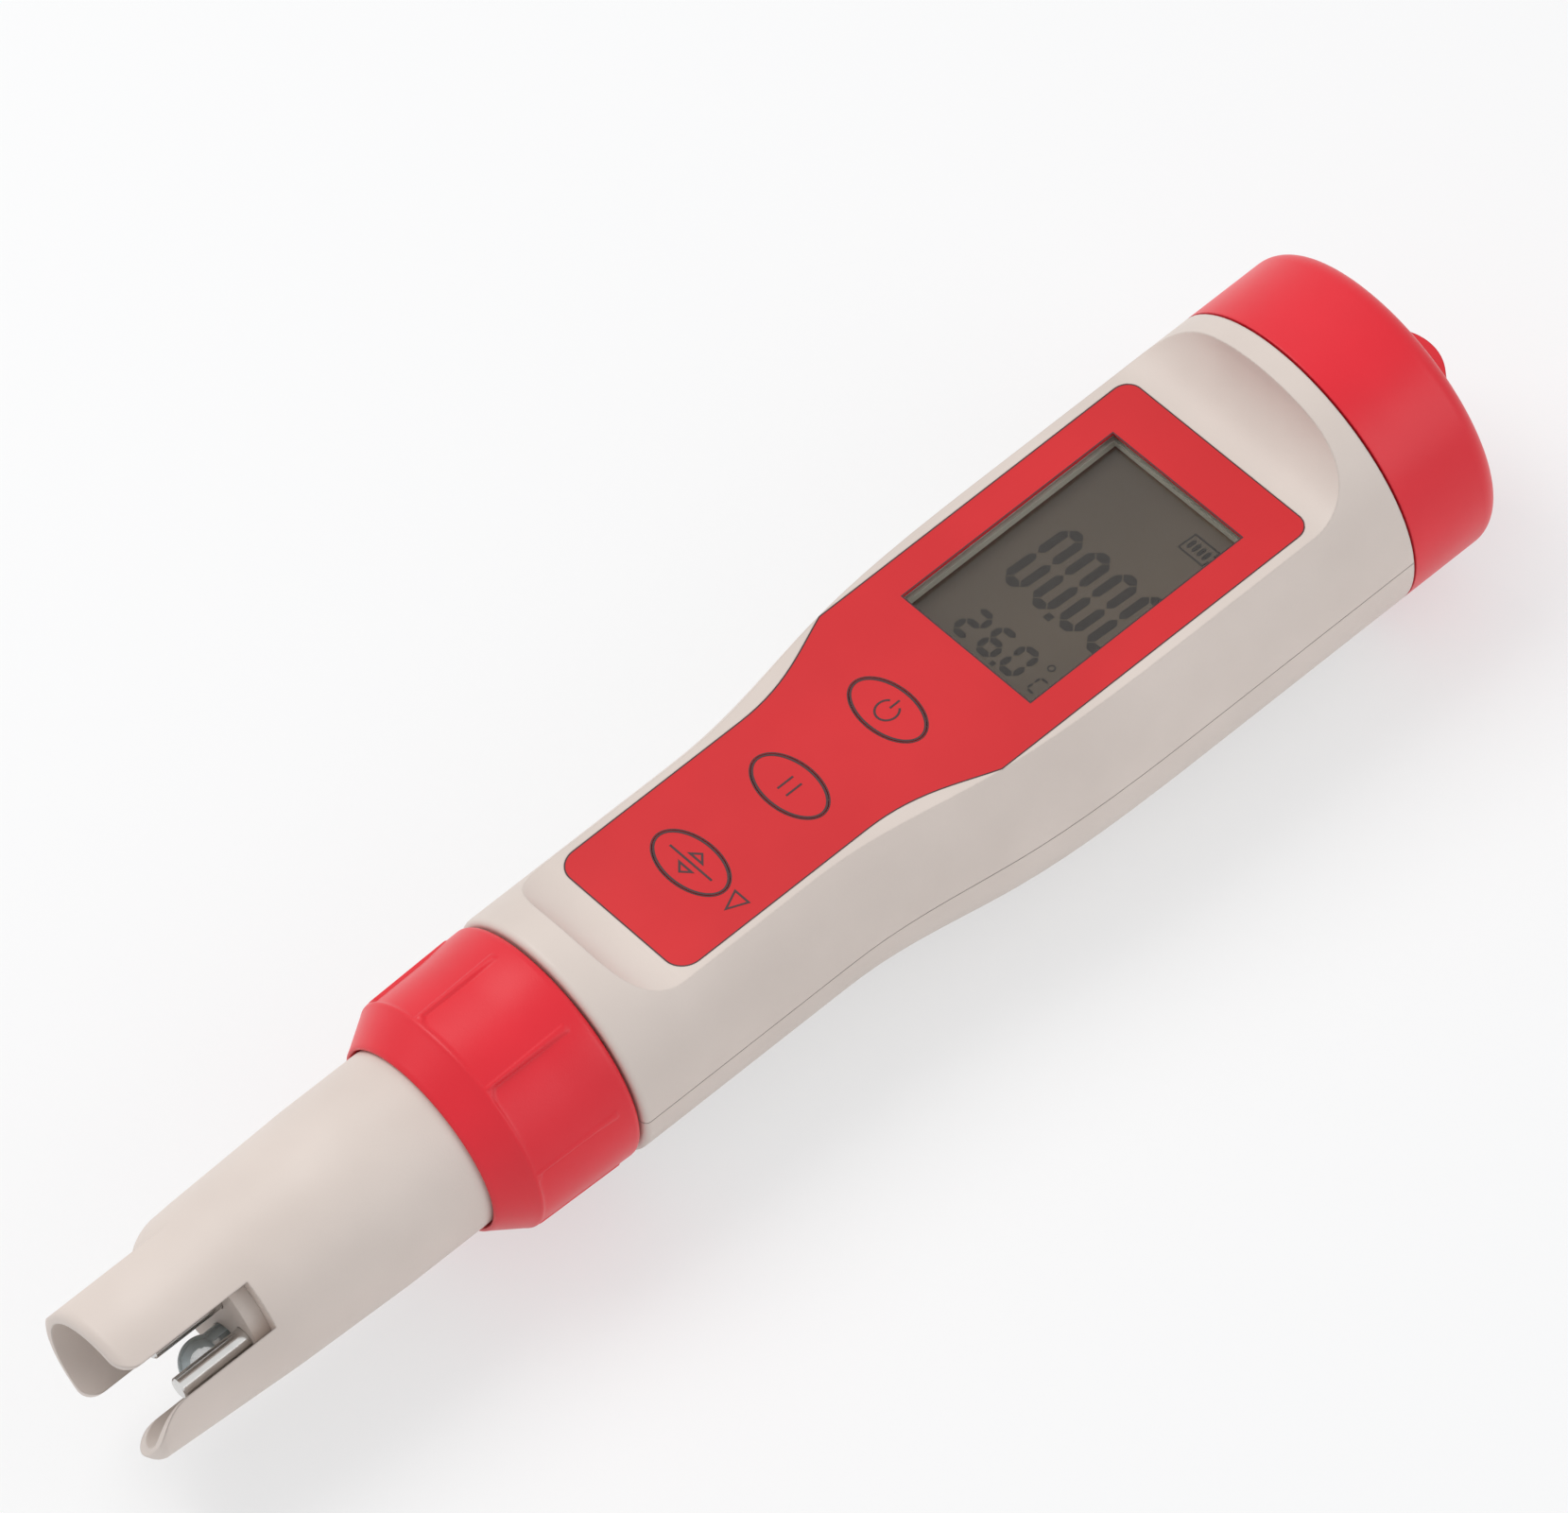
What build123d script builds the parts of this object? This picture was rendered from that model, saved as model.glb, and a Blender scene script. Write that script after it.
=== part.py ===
"""Water quality test pen, lying on its back: a round two-piece body with a display and
three keys under a red front label, a screwed battery cap with a lanyard lug, and a
replaceable probe that a screwed lock ring holds.

X runs along the pen, from the probe's tip to the battery cap. Z is up, the way the
display faces. Lengths are in millimetres.
"""

from build123d import *
import os
from math import cos, radians, sin

# Overall sizes along the pen
guard_reach = 43.7        # probe that shows in front of the lock ring
ring_length = 18.0        # lock ring
body_length = 106.5       # two-piece body, from lock ring to battery cap
cap_length = 13.0         # battery cap without its lug
lug_height = 7.0          # lanyard lug behind the cap

# Radii of the main turned forms
head_radius = 19.0        # cap and the head of the body
grip_radius = 15.1        # slim end of the body
ring_radius = 14.9        # back edge of the lock ring
probe_radius = 11.3       # probe where it leaves the lock ring

# Walls and clearances
shell_wall = 2.0
front_wall = 1.6          # wall behind the label
running_gap = 0.05        # radial clearance of a screwed or sliding fit
loose_gap = 0.15          # clearance of pieces that are dropped in
joint_gap = 0.3           # line that shows between body, cap and lock ring

# Body outline, measured back from the cap's joint line
flare_start_back = 77.0
flare_middle_back = 55.0
flare_end_back = 27.0
flare_middle_radius = 17.8
shell_edge_round = 0.8
seam_drop = 1.5           # the shells part this far under the pen's axis

# Front flat and label
flat_height = 10.05       # flat face above the pen's axis
label_thickness = 0.45
label_end_back = 9.5      # cap joint line to the label's wide end
label_length = 85.6
label_narrow = 20.6
label_wide = 29.5
label_flare_start = 26.1  # from the label's narrow end
label_flare_end = 41.2
label_narrow_round = 2.5
label_wide_round = 2.0
scoop_low_radius = 6.5
scoop_low_run = 7.0       # scoop's wall beyond the label's narrow end
scoop_high_radius = 7.5
scoop_high_run = 6.6      # scoop's wall beyond the label's wide end

# Display
view_length = 30.4
view_width = 20.8
view_end_back = 6.1       # label's wide end to the view
lens_border = 1.3
lens_thickness = 1.0
well_wall = 0.45
glass_border = 1.2
glass_thickness = 2.0
glass_depth = 2.35        # display glass under the flat face
frame_wall = 1.0
reflector_thickness = 0.3
strip_width = 1.2
strip_inset = 0.6

# Keys
key_count = 3
key_first = 10.2          # label's narrow end to the first key
key_pitch = 13.9
key_width = 10.6          # across the pen
key_depth = 5.8           # along the pen
key_gap = 0.12
key_travel = 0.4
key_pocket_spare = 0.1    # pocket left under a fully pressed key
key_stem_width = 8.0
key_stem_depth = 3.6
key_flange_border = 0.8
key_flange_thickness = 0.5
plunger_radius = 1.2
plunger_depth = 1.2       # plunger inside its switch
switch_side = 4.6
switch_height = 2.0

# Circuit board and what it carries
board_thickness = 1.6
board_narrow = 19.0
board_wide = 27.0
board_start = 1.9         # in front of the label's narrow end, towards the probe
board_flare = 12.0        # length over which the board widens
board_shoulder = 1.1      # wide board in front of the upper posts
board_end = 82.4
post_radius = 2.0
screw_radius = 0.8
screw_head_radius = 1.7
screw_head_height = 1.0
post_low_at = 17.1        # from the label's narrow end
post_low_spacing = 13.6
post_high_gap = 2.8       # in front of the display's frame
post_high_inset = 2.5     # inside the board's wide edge
screw_bite = 2.8
chip_side = 10.0
chip_height = 1.5
chip_at = 60.0
amplifier_length = 6.0
amplifier_width = 5.0
amplifier_at = 16.0
crystal_radius = 1.4
crystal_length = 6.0
crystal_at = 50.0

# Battery end
neck_radius = 15.4
thread_height = 0.6
neck_reach = 8.5          # beyond the joint line
neck_root = 1.75          # full neck inside the body
neck_bore = 13.4
neck_flange_radius = 16.85
neck_flange_thickness = 2.0
neck_flange_back = 2.5
cap_roof = 2.0
cap_round = 2.5
cap_pitch = 3.0
cap_turns = 3.0
thread_top_width = 0.5
thread_foot_width = 1.2
seal_section = 0.6        # radius of the round seals' section
cap_seal_at = 1.6
lug_radius = 7.0
lug_thickness = 4.0
lanyard_hole_radius = 2.0
lanyard_hole_at = 3.2     # above the cap's end
cell_count = 4
cell_radius = 5.8
cell_height = 5.4
cell_top = 7.5            # beyond the joint line
cell_drop = 3.5           # battery axis under the pen's axis
battery_tube_wall = 0.65
battery_tube_floor = 1.0
battery_tube_short = 0.5  # the top cell stands out this far
contact_thickness = 0.4
cap_disc_radius = 11.5
cap_disc_thickness = 0.5
spring_radius = 4.0
spring_wire = 0.35
spring_turns = 2.5
terminal_width = 3.0
terminal_offset = 9.0
terminal_overlap = 6.0

# Probe end
socket_neck_radius = 12.4
socket_neck_reach = 9.0
socket_neck_bore = 9.6
socket_flange_radius = 13.0
socket_flange_thickness = 2.0
front_end_wall = 1.7
ring_pitch = 3.0
washer_thickness = 0.8
washer_inner_radius = 10.0
probe_flange_thickness = 2.0
ring_cone_start = 4.3     # from the lock ring's front face
ring_cone_radius = 14.6
ring_front_radius = 11.95
ring_back_round = 0.8
rib_count = 8
rib_width = 0.5
rib_proud = 0.22
rib_back_margin = 1.8
rib_turn = 33.6           # degrees, where the photographed ring stopped
plug_radius = 9.5
plug_reach = 6.8          # plug behind the probe's flange
plug_seal_at = 2.2
pin_count = 6
pin_radius = 0.5
pin_circle_radius = 5.0
pin_reach = 6.0
socket_block_length = 6.9
ribbon_width = 8.0
ribbon_thickness = 0.4
ribbon_overlap = 5.0

# Probe guard
probe_straight = 16.7     # straight part in front of the flange
probe_mid_back = 18.2     # from the tip
probe_mid_radius = 10.85
tip_radius = 9.85
guard_bore_radius = 8.2
guard_round = 1.2
dome_start_back = 16.3    # from the tip
dome_face_back = 10.2
dome_face_radius = 7.3
slot_near_side = -0.55    # slot walls, off the axis, across the slot
slot_far_side = -6.1
slot_mouth_near = 2.4
slot_mouth_far = 4.5
side_flat = 9.25          # flat on the wide wing, off the axis
guard_turn = 33.6         # degrees, slot direction from the display's normal
core_radius = 8.9
core_face_back = 14.2     # inner face of the probe's front wall, from the tip
core_back_gap = 1.7       # core's back to the probe's flange

# Sensors at the tip: place across the slot and along it, off the axis
steel_pin_radius = 1.3
steel_pin_tip_back = 5.1
steel_pin_length = 20.0
steel_pin_places = ((-5.0, 4.5), (0.2, 4.5))
bulb_radius = 3.0
bulb_centre_back = 10.8
bulb_place = (-4.6, -1.2)
stem_radius = 2.6
glass_wall = 0.45
silver_wire_radius = 0.4
junction_radius = 1.5
junction_proud = 0.4
junction_length = 8.0
junction_place = (3.2, -3.6)
thermometer_radius = 1.6
thermometer_proud = 2.2
thermometer_length = 12.0
thermometer_place = (3.9, 1.2)
lead_radius = 0.3
probe_board_thickness = 1.2

# Stations along X, worked out from the lengths above
overall_length = guard_reach + ring_length + body_length + cap_length + lug_height
tip_x = -overall_length / 2
ring_front_x = tip_x + guard_reach
ring_back_x = ring_front_x + ring_length
shell_front_x = ring_back_x + joint_gap
joint_x = ring_back_x + body_length
cap_end_x = joint_x + cap_length
label_end_x = joint_x - label_end_back
label_start_x = label_end_x - label_length
view_x = label_end_x - view_end_back - view_length / 2
key_names = ("lower_key", "middle_key", "upper_key")
key_stations = [label_start_x + key_first + i * key_pitch for i in range(key_count)]

glass_length = view_length + 2 * glass_border
glass_width = view_width + 2 * glass_border
frame_length = glass_length + 2 * frame_wall
frame_width = glass_width + 2 * frame_wall
post_high_x = view_x - frame_length / 2 - post_high_gap
board_wide_x = post_high_x - board_shoulder

# Heights, from the floor that the pen lies on
axis_z = head_radius
seam_z = axis_z - seam_drop
flat_z = axis_z + flat_height
label_floor_z = flat_z - label_thickness
inner_z = label_floor_z - front_wall
glass_top_z = flat_z - glass_depth
glass_z = glass_top_z - glass_thickness
switch_gap = key_travel + key_pocket_spare
key_flange_z = inner_z - running_gap - key_flange_thickness
switch_top_z = key_flange_z - switch_gap
board_top_z = switch_top_z - switch_height
board_z = board_top_z - board_thickness
cell_axis_z = axis_z - cell_drop

# Stations of the battery end
neck_flange_x = joint_x - neck_flange_back
cap_inner_x = cap_end_x - cap_roof
thread_radius = neck_radius + thread_height
cap_bore_radius = thread_radius + running_gap
cell_top_x = joint_x + cell_top
cell_foot_x = cell_top_x - cell_count * cell_height
battery_tube_bore = cell_radius + loose_gap
battery_tube_radius = battery_tube_bore + battery_tube_wall
battery_tube_x = cell_foot_x - contact_thickness - battery_tube_floor

# Stations of the probe end
socket_neck_x = ring_back_x - socket_neck_reach
washer_x = socket_neck_x - washer_thickness
flange_x = washer_x - probe_flange_thickness
socket_thread_radius = socket_neck_radius + thread_height
ring_bore_radius = socket_thread_radius + running_gap
probe_flange_radius = ring_bore_radius - loose_gap
plug_end_x = washer_x + plug_reach
socket_front_x = plug_end_x + joint_gap
socket_back_x = socket_front_x + socket_block_length
core_face_x = tip_x + core_face_back
core_back_x = flange_x - core_back_gap
dome_face_x = tip_x + dome_face_back

# Planes and axes
pen_axis = Axis((0, 0, axis_z), (1, 0, 0))
side_plane = Plane(origin=(0, 0, axis_z), x_dir=(1, 0, 0), z_dir=(0, -1, 0))
cell_side_plane = Plane(origin=(0, 0, cell_axis_z), x_dir=(1, 0, 0), z_dir=(0, -1, 0))
cell_axis = Axis((0, 0, cell_axis_z), (1, 0, 0))
slot_normal = (0, -sin(radians(guard_turn)), cos(radians(guard_turn)))
slot_plane = Plane(origin=(0, 0, axis_z), x_dir=(1, 0, 0), z_dir=slot_normal)

os.makedirs("parts", exist_ok=True)


def finish(builder, name):
    """Label a finished piece and write it."""
    builder.part.label = name
    export_step(builder.part, f"parts/{name}.step")


def turn(points, rounds=(), plane=side_plane, axis=pen_axis, mode=Mode.ADD):
    """Revolve a closed half section of (x, radius) points; rounds are (corner, radius)."""
    with BuildSketch(plane) as section:
        with BuildLine():
            Polyline(*points, close=True)
        make_face()
        for corner, radius in rounds:
            fillet(section.vertices().sort_by_distance(corner)[0], radius)
    revolve(section.sketch.faces(), axis=axis, mode=mode)


def bar(start_x, end_x, radius, y=0.0, z=axis_z, mode=Mode.ADD):
    """A round bar or bore along X."""
    with BuildSketch(Plane(origin=(start_x, y, z), x_dir=(0, 1, 0), z_dir=(1, 0, 0))) as end:
        Circle(radius)
    extrude(end.sketch.faces(), amount=end_x - start_x, mode=mode)


def block(low, high, mode=Mode.ADD):
    """A box between two corners."""
    middle = tuple((a + b) / 2 for a, b in zip(low, high))
    size = [b - a for a, b in zip(low, high)]
    with Locations(middle):
        Box(*size, mode=mode)


def plate(length, width, x, low_z, high_z, mode=Mode.ADD):
    """A flat rectangular plate centred on the pen, between two heights."""
    block((x - length / 2, -width / 2, low_z), (x + length / 2, width / 2, high_z), mode)


def oval(length, width, x, low_z, high_z, mode=Mode.ADD):
    """An oval disc centred on the pen, between two heights."""
    with BuildSketch(Plane(origin=(x, 0, low_z))) as outline:
        Ellipse(length / 2, width / 2)
    extrude(outline.sketch.faces(), amount=high_z - low_z, mode=mode)


def body_section(start_x, end_x, inset):
    """Half section of the body's flared outline, moved inwards by inset."""
    slim = grip_radius - inset
    wide = head_radius - inset
    middle = flare_middle_radius - inset
    flare_start = (joint_x - flare_start_back, slim)
    flare_middle = (joint_x - flare_middle_back, middle)
    flare_end = (joint_x - flare_end_back, wide)
    with BuildSketch(side_plane) as section:
        with BuildLine():
            Polyline((start_x, 0), (start_x, slim), flare_start)
            Spline(flare_start, flare_middle, flare_end, tangents=[(1, 0), (1, 0)])
            Polyline(flare_end, (end_x, wide), (end_x, 0), (start_x, 0))
        make_face()
    return section


def label_sketch(plane, grow=0.0):
    """The front label's outline: narrow at the keys, flared out to the display."""
    half_narrow = label_narrow / 2 + grow
    half_wide = label_wide / 2 + grow
    start_x = label_start_x - grow
    end_x = label_end_x + grow
    flare_start = (label_start_x + label_flare_start, half_narrow)
    flare_end = (label_start_x + label_flare_end, half_wide)
    with BuildSketch(plane) as outline:
        with BuildLine():
            Polyline((start_x, 0), (start_x, half_narrow), flare_start)
            Spline(flare_start, flare_end, tangents=[(1, 0), (1, 0.42)])
            Polyline(flare_end, (end_x, half_wide), (end_x, 0))
            mirror(about=Plane.XZ)
        make_face()
        for side in (-1, 1):
            narrow = (start_x, side * half_narrow)
            wide = (end_x, side * half_wide)
            fillet(outline.vertices().sort_by_distance(narrow)[0], label_narrow_round + grow)
            fillet(outline.vertices().sort_by_distance(wide)[0], label_wide_round + grow)
    return outline


def sensor_point(place):
    """Y and Z of a point given across and along the guard's slot."""
    across, along = place
    turned = radians(guard_turn)
    return (
        across * cos(turned) - along * sin(turned),
        axis_z + across * sin(turned) + along * cos(turned),
    )


# Posts that the circuit board is screwed to
post_places = [
    (x, side * y)
    for x, y in (
        (label_start_x + post_low_at, post_low_spacing / 2),
        (post_high_x, board_wide / 2 - post_high_inset),
    )
    for side in (-1, 1)
]

# Space inside the body, with the thick roof over the scoops left out
with BuildPart() as body_space:
    inner = body_section(shell_front_x + front_end_wall, neck_flange_x, shell_wall)
    revolve(inner.sketch.faces(), axis=pen_axis)
    roof_x = shell_front_x + front_end_wall + socket_flange_thickness + joint_gap
    block((roof_x, -head_radius, inner_z), (joint_x, head_radius, axis_z + head_radius),
          mode=Mode.SUBTRACT)


def shell(keep):
    """One half of the body, above or below the seam."""
    outer = body_section(shell_front_x, joint_x, 0)
    body = revolve(outer.sketch.faces(), axis=pen_axis)
    front_edge = body.edges().filter_by(GeomType.CIRCLE).group_by(Axis.X)[0]
    fillet(front_edge, shell_edge_round)
    top = head_radius + 1
    low_x = label_start_x - scoop_low_run
    high_x = label_end_x + scoop_high_run
    low_r = scoop_low_radius
    high_r = scoop_high_radius
    with BuildSketch(side_plane) as scoop:
        with BuildLine():
            Polyline((low_x, flat_height + low_r), (low_x, top), (high_x, top),
                     (high_x, flat_height + high_r))
            RadiusArc((high_x, flat_height + high_r), (high_x - high_r, flat_height), high_r)
            Line((high_x - high_r, flat_height), (low_x + low_r, flat_height))
            RadiusArc((low_x + low_r, flat_height), (low_x, flat_height + low_r), low_r)
        make_face()
    extrude(scoop.sketch.faces(), amount=head_radius + 1, both=True, mode=Mode.SUBTRACT)
    add(body_space.part, mode=Mode.SUBTRACT)
    bar(shell_front_x - 1, roof_x, socket_neck_radius + running_gap, mode=Mode.SUBTRACT)
    bar(joint_x - neck_root, joint_x + 1, neck_radius + running_gap, mode=Mode.SUBTRACT)
    with BuildSketch(Plane(origin=(neck_flange_x - 0.5, 0, axis_z), x_dir=(0, 1, 0),
                           z_dir=(1, 0, 0))) as mouth:
        Circle(neck_radius + running_gap)
        with Locations((0, head_radius / 2 + inner_z - axis_z)):
            Rectangle(2 * head_radius, head_radius, mode=Mode.SUBTRACT)
    extrude(mouth.sketch.faces(), amount=neck_flange_back, mode=Mode.SUBTRACT)
    split(bisect_by=Plane.XY.offset(seam_z), keep=keep)


# Front shell: carries the label, the display's well, the keys and the board's posts
with BuildPart() as front_shell:
    shell(Keep.TOP)
    pocket = label_sketch(Plane.XY.offset(label_floor_z), grow=running_gap)
    extrude(pocket.sketch.faces(), amount=head_radius, mode=Mode.SUBTRACT)
    plate(view_length + 2 * lens_border, view_width + 2 * lens_border, view_x,
          label_floor_z - lens_thickness, label_floor_z, mode=Mode.SUBTRACT)
    plate(view_length + 2 * well_wall + loose_gap, view_width + 2 * well_wall + loose_gap,
          view_x, inner_z - 1, label_floor_z, mode=Mode.SUBTRACT)
    for x in key_stations:
        oval(key_depth + 2 * key_gap, key_width + 2 * key_gap, x,
             label_floor_z - switch_gap, label_floor_z, mode=Mode.SUBTRACT)
        oval(key_stem_depth + 2 * loose_gap, key_stem_width + 2 * loose_gap, x,
             inner_z - 1, label_floor_z, mode=Mode.SUBTRACT)
    for x, y in post_places:
        with BuildSketch(Plane(origin=(x, y, board_top_z))) as post:
            Circle(post_radius)
        extrude(post.sketch.faces(), amount=inner_z - board_top_z + front_wall / 2)
        with BuildSketch(Plane(origin=(x, y, board_top_z))) as hole:
            Circle(screw_radius)
        extrude(hole.sketch.faces(), amount=screw_bite + joint_gap, mode=Mode.SUBTRACT)
finish(front_shell, "front_shell")

# Back shell: the plain round half
with BuildPart() as back_shell:
    shell(Keep.BOTTOM)
finish(back_shell, "back_shell")

# Front label: thin red sheet with the display's view and three key ovals cut out
with BuildPart() as front_label:
    outline = label_sketch(Plane.XY.offset(label_floor_z))
    extrude(outline.sketch.faces(), amount=label_thickness)
    plate(view_length, view_width, view_x, label_floor_z, flat_z, mode=Mode.SUBTRACT)
    for x in key_stations:
        oval(key_depth + 2 * key_gap, key_width + 2 * key_gap, x, label_floor_z, flat_z,
             mode=Mode.SUBTRACT)
finish(front_label, "front_label")

# Display lens: clear plate in the shell's rebate, behind the label
with BuildPart() as display_lens:
    plate(view_length + 2 * lens_border - loose_gap, view_width + 2 * lens_border - loose_gap,
          view_x, label_floor_z - lens_thickness, label_floor_z)
finish(display_lens, "display_lens")

# Display frame: holds the glass on the board, and lines the well under the lens
with BuildPart() as display_frame:
    plate(frame_length, frame_width, view_x, board_top_z, inner_z)
    plate(view_length + 2 * well_wall, view_width + 2 * well_wall, view_x, inner_z,
          label_floor_z - lens_thickness)
    plate(glass_length + loose_gap, glass_width + loose_gap, view_x, board_top_z,
          glass_top_z, mode=Mode.SUBTRACT)
    plate(view_length, view_width, view_x, glass_top_z, label_floor_z, mode=Mode.SUBTRACT)
finish(display_frame, "display_frame")

# Display glass: two bonded plates
with BuildPart() as display_glass:
    plate(glass_length, glass_width, view_x, glass_z, glass_top_z)
finish(display_glass, "display_glass")

# Reflector: pale sheet on the back of the glass
with BuildPart() as reflector:
    plate(view_length - 2 * strip_inset, view_width, view_x, glass_z - reflector_thickness,
          glass_z)
finish(reflector, "reflector")

# Contact strips: soft strips that join the glass to the board at both ends
with BuildPart() as contact_strips:
    for end in (-1, 1):
        strip_x = view_x + end * (glass_length / 2 - strip_width / 2)
        plate(strip_width, view_width, strip_x, board_top_z, glass_z)
finish(contact_strips, "contact_strips")

# Circuit board: narrow under the keys, wide under the display
with BuildPart() as circuit_board:
    with BuildSketch(Plane.XY.offset(board_z)) as board:
        with BuildLine():
            Polyline(
                (label_start_x - board_start, 0),
                (label_start_x - board_start, board_narrow / 2),
                (board_wide_x - board_flare, board_narrow / 2),
                (board_wide_x, board_wide / 2),
                (label_start_x + board_end, board_wide / 2),
                (label_start_x + board_end, 0),
            )
            mirror(about=Plane.XZ)
        make_face()
        with Locations(*post_places):
            Circle(screw_radius + loose_gap, mode=Mode.SUBTRACT)
    extrude(amount=board_thickness)
finish(circuit_board, "circuit_board")

# Board screws: four screws up into the front shell's posts
with BuildPart() as board_screws:
    for x, y in post_places:
        with BuildSketch(Plane(origin=(x, y, board_z - screw_head_height))) as head:
            Circle(screw_head_radius)
        extrude(head.sketch.faces(), amount=screw_head_height)
        with BuildSketch(Plane(origin=(x, y, board_z))) as shank:
            Circle(screw_radius)
        extrude(shank.sketch.faces(), amount=board_thickness + screw_bite)
finish(board_screws, "board_screws")

# Chips and crystal under the board
with BuildPart() as microcontroller:
    plate(chip_side, chip_side, label_start_x + chip_at, board_z - chip_height, board_z)
finish(microcontroller, "microcontroller")

with BuildPart() as amplifier_chip:
    plate(amplifier_length, amplifier_width, label_start_x + amplifier_at,
          board_z - chip_height, board_z)
finish(amplifier_chip, "amplifier_chip")

with BuildPart() as crystal:
    bar(label_start_x + crystal_at - crystal_length / 2,
        label_start_x + crystal_at + crystal_length / 2, crystal_radius, z=board_z - crystal_radius)
finish(crystal, "crystal")

# Keys: an oval cut from the label's sheet, with a stem and a flange under the wall
# that keeps it in, on the plunger of a switch
for number, (x, key_name) in enumerate(zip(key_stations, key_names)):
    with BuildPart() as key:
        oval(key_depth, key_width, x, label_floor_z, flat_z)
        oval(key_stem_depth, key_stem_width, x, key_flange_z, label_floor_z)
        oval(key_stem_depth + 2 * key_flange_border, key_stem_width + 2 * key_flange_border, x,
             key_flange_z, key_flange_z + key_flange_thickness)
    finish(key, key_name)

    with BuildPart() as plunger:
        with BuildSketch(Plane(origin=(x, 0, switch_top_z - plunger_depth))) as rod:
            Circle(plunger_radius)
        extrude(rod.sketch.faces(), amount=key_flange_z - switch_top_z + plunger_depth)
    finish(plunger, f"switch_plunger_{number + 1}")

    with BuildPart() as switch:
        plate(switch_side, switch_side, x, board_top_z, switch_top_z)
        with BuildSketch(Plane(origin=(x, 0, switch_top_z))) as well:
            Circle(plunger_radius + running_gap)
        extrude(well.sketch.faces(), amount=-(plunger_depth + switch_gap), mode=Mode.SUBTRACT)
    finish(switch, f"key_switch_{number + 1}")

# Battery neck: screwed spigot that the cap closes, clamped between the shells
thread_stations = [joint_x + neck_reach - thread_foot_width - i * cap_pitch for i in range(2)]
with BuildPart() as battery_neck:
    turn([
        (neck_flange_x - neck_flange_thickness, 0),
        (neck_flange_x - neck_flange_thickness, neck_flange_radius),
        (neck_flange_x, neck_flange_radius),
        (neck_flange_x, neck_radius),
        (joint_x + neck_reach, neck_radius),
        (joint_x + neck_reach, neck_bore),
        (neck_flange_x, neck_bore),
        (neck_flange_x, 0),
    ])
    for x in thread_stations:
        turn([
            (x - thread_foot_width / 2, neck_radius - running_gap),
            (x - thread_foot_width / 2, neck_radius),
            (x - thread_top_width / 2, thread_radius),
            (x + thread_top_width / 2, thread_radius),
            (x + thread_foot_width / 2, neck_radius),
            (x + thread_foot_width / 2, neck_radius - running_gap),
        ])
    seal_x = joint_x + cap_seal_at
    groove = seal_section + running_gap
    turn([
        (seal_x - groove, neck_radius - groove),
        (seal_x - groove, neck_radius + groove),
        (seal_x + groove, neck_radius + groove),
        (seal_x + groove, neck_radius - groove),
    ], mode=Mode.SUBTRACT)
    block((joint_x - head_radius, -head_radius, inner_z - running_gap),
          (joint_x - neck_root, head_radius, axis_z + head_radius), mode=Mode.SUBTRACT)
    bar(joint_x - head_radius, joint_x, battery_tube_radius + running_gap, z=cell_axis_z,
        mode=Mode.SUBTRACT)
    block((joint_x - head_radius, terminal_offset - terminal_width / 2 - loose_gap,
           board_z - contact_thickness - loose_gap),
          (joint_x, terminal_offset + terminal_width / 2 + loose_gap, board_z + loose_gap),
          mode=Mode.SUBTRACT)
finish(battery_neck, "battery_neck")

# Round seals are rings of round section
with BuildPart() as cap_seal:
    with BuildSketch(side_plane) as seal_end:
        with Locations((seal_x, neck_radius)):
            Circle(seal_section)
    revolve(seal_end.sketch.faces(), axis=pen_axis)
finish(cap_seal, "cap_seal")

# Battery tube: open sleeve for the stack of button cells
with BuildPart() as battery_tube:
    turn([
        (battery_tube_x, 0),
        (battery_tube_x, battery_tube_radius),
        (cell_top_x - battery_tube_short, battery_tube_radius),
        (cell_top_x - battery_tube_short, battery_tube_bore),
        (battery_tube_x + battery_tube_floor, battery_tube_bore),
        (battery_tube_x + battery_tube_floor, 0),
    ], plane=cell_side_plane, axis=cell_axis)
    bar(battery_tube_x - 1, battery_tube_x + battery_tube_floor, pin_radius + running_gap,
        z=cell_axis_z, mode=Mode.SUBTRACT)
finish(battery_tube, "battery_tube")

# Button cells: a can with a smaller negative button on the probe's side
for number in range(cell_count):
    start = cell_foot_x + number * cell_height
    with BuildPart() as cell:
        turn([
            (start, 0),
            (start, cell_radius * 0.78),
            (start + 0.5, cell_radius * 0.82),
            (start + 0.5, cell_radius - 0.3),
            (start + 0.8, cell_radius),
            (start + cell_height - 0.4, cell_radius),
            (start + cell_height, cell_radius - 0.4),
            (start + cell_height, 0),
        ], plane=cell_side_plane, axis=cell_axis)
    finish(cell, f"button_cell_{number + 1}")

# Base contact: disc on the tube's floor with a pin through it, and a strip to the board
with BuildPart() as base_contact:
    bar(cell_foot_x - contact_thickness, cell_foot_x, cell_radius - 1, z=cell_axis_z)
    bar(battery_tube_x - contact_thickness, cell_foot_x - contact_thickness, pin_radius,
        z=cell_axis_z)
    block((battery_tube_x - contact_thickness, -terminal_width / 2, cell_axis_z - 1),
          (battery_tube_x, terminal_width / 2, board_z))
    block((battery_tube_x - terminal_overlap, -terminal_width / 2, board_z - contact_thickness),
          (battery_tube_x, terminal_width / 2, board_z))
finish(base_contact, "base_contact")

# Terminal strip: runs from the board's underside to the contact disc in the cap
with BuildPart() as terminal_strip:
    block((label_start_x + board_end - terminal_overlap, terminal_offset - terminal_width / 2,
           board_z - contact_thickness),
          (cell_top_x, terminal_offset + terminal_width / 2, board_z))
finish(terminal_strip, "terminal_strip")

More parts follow.
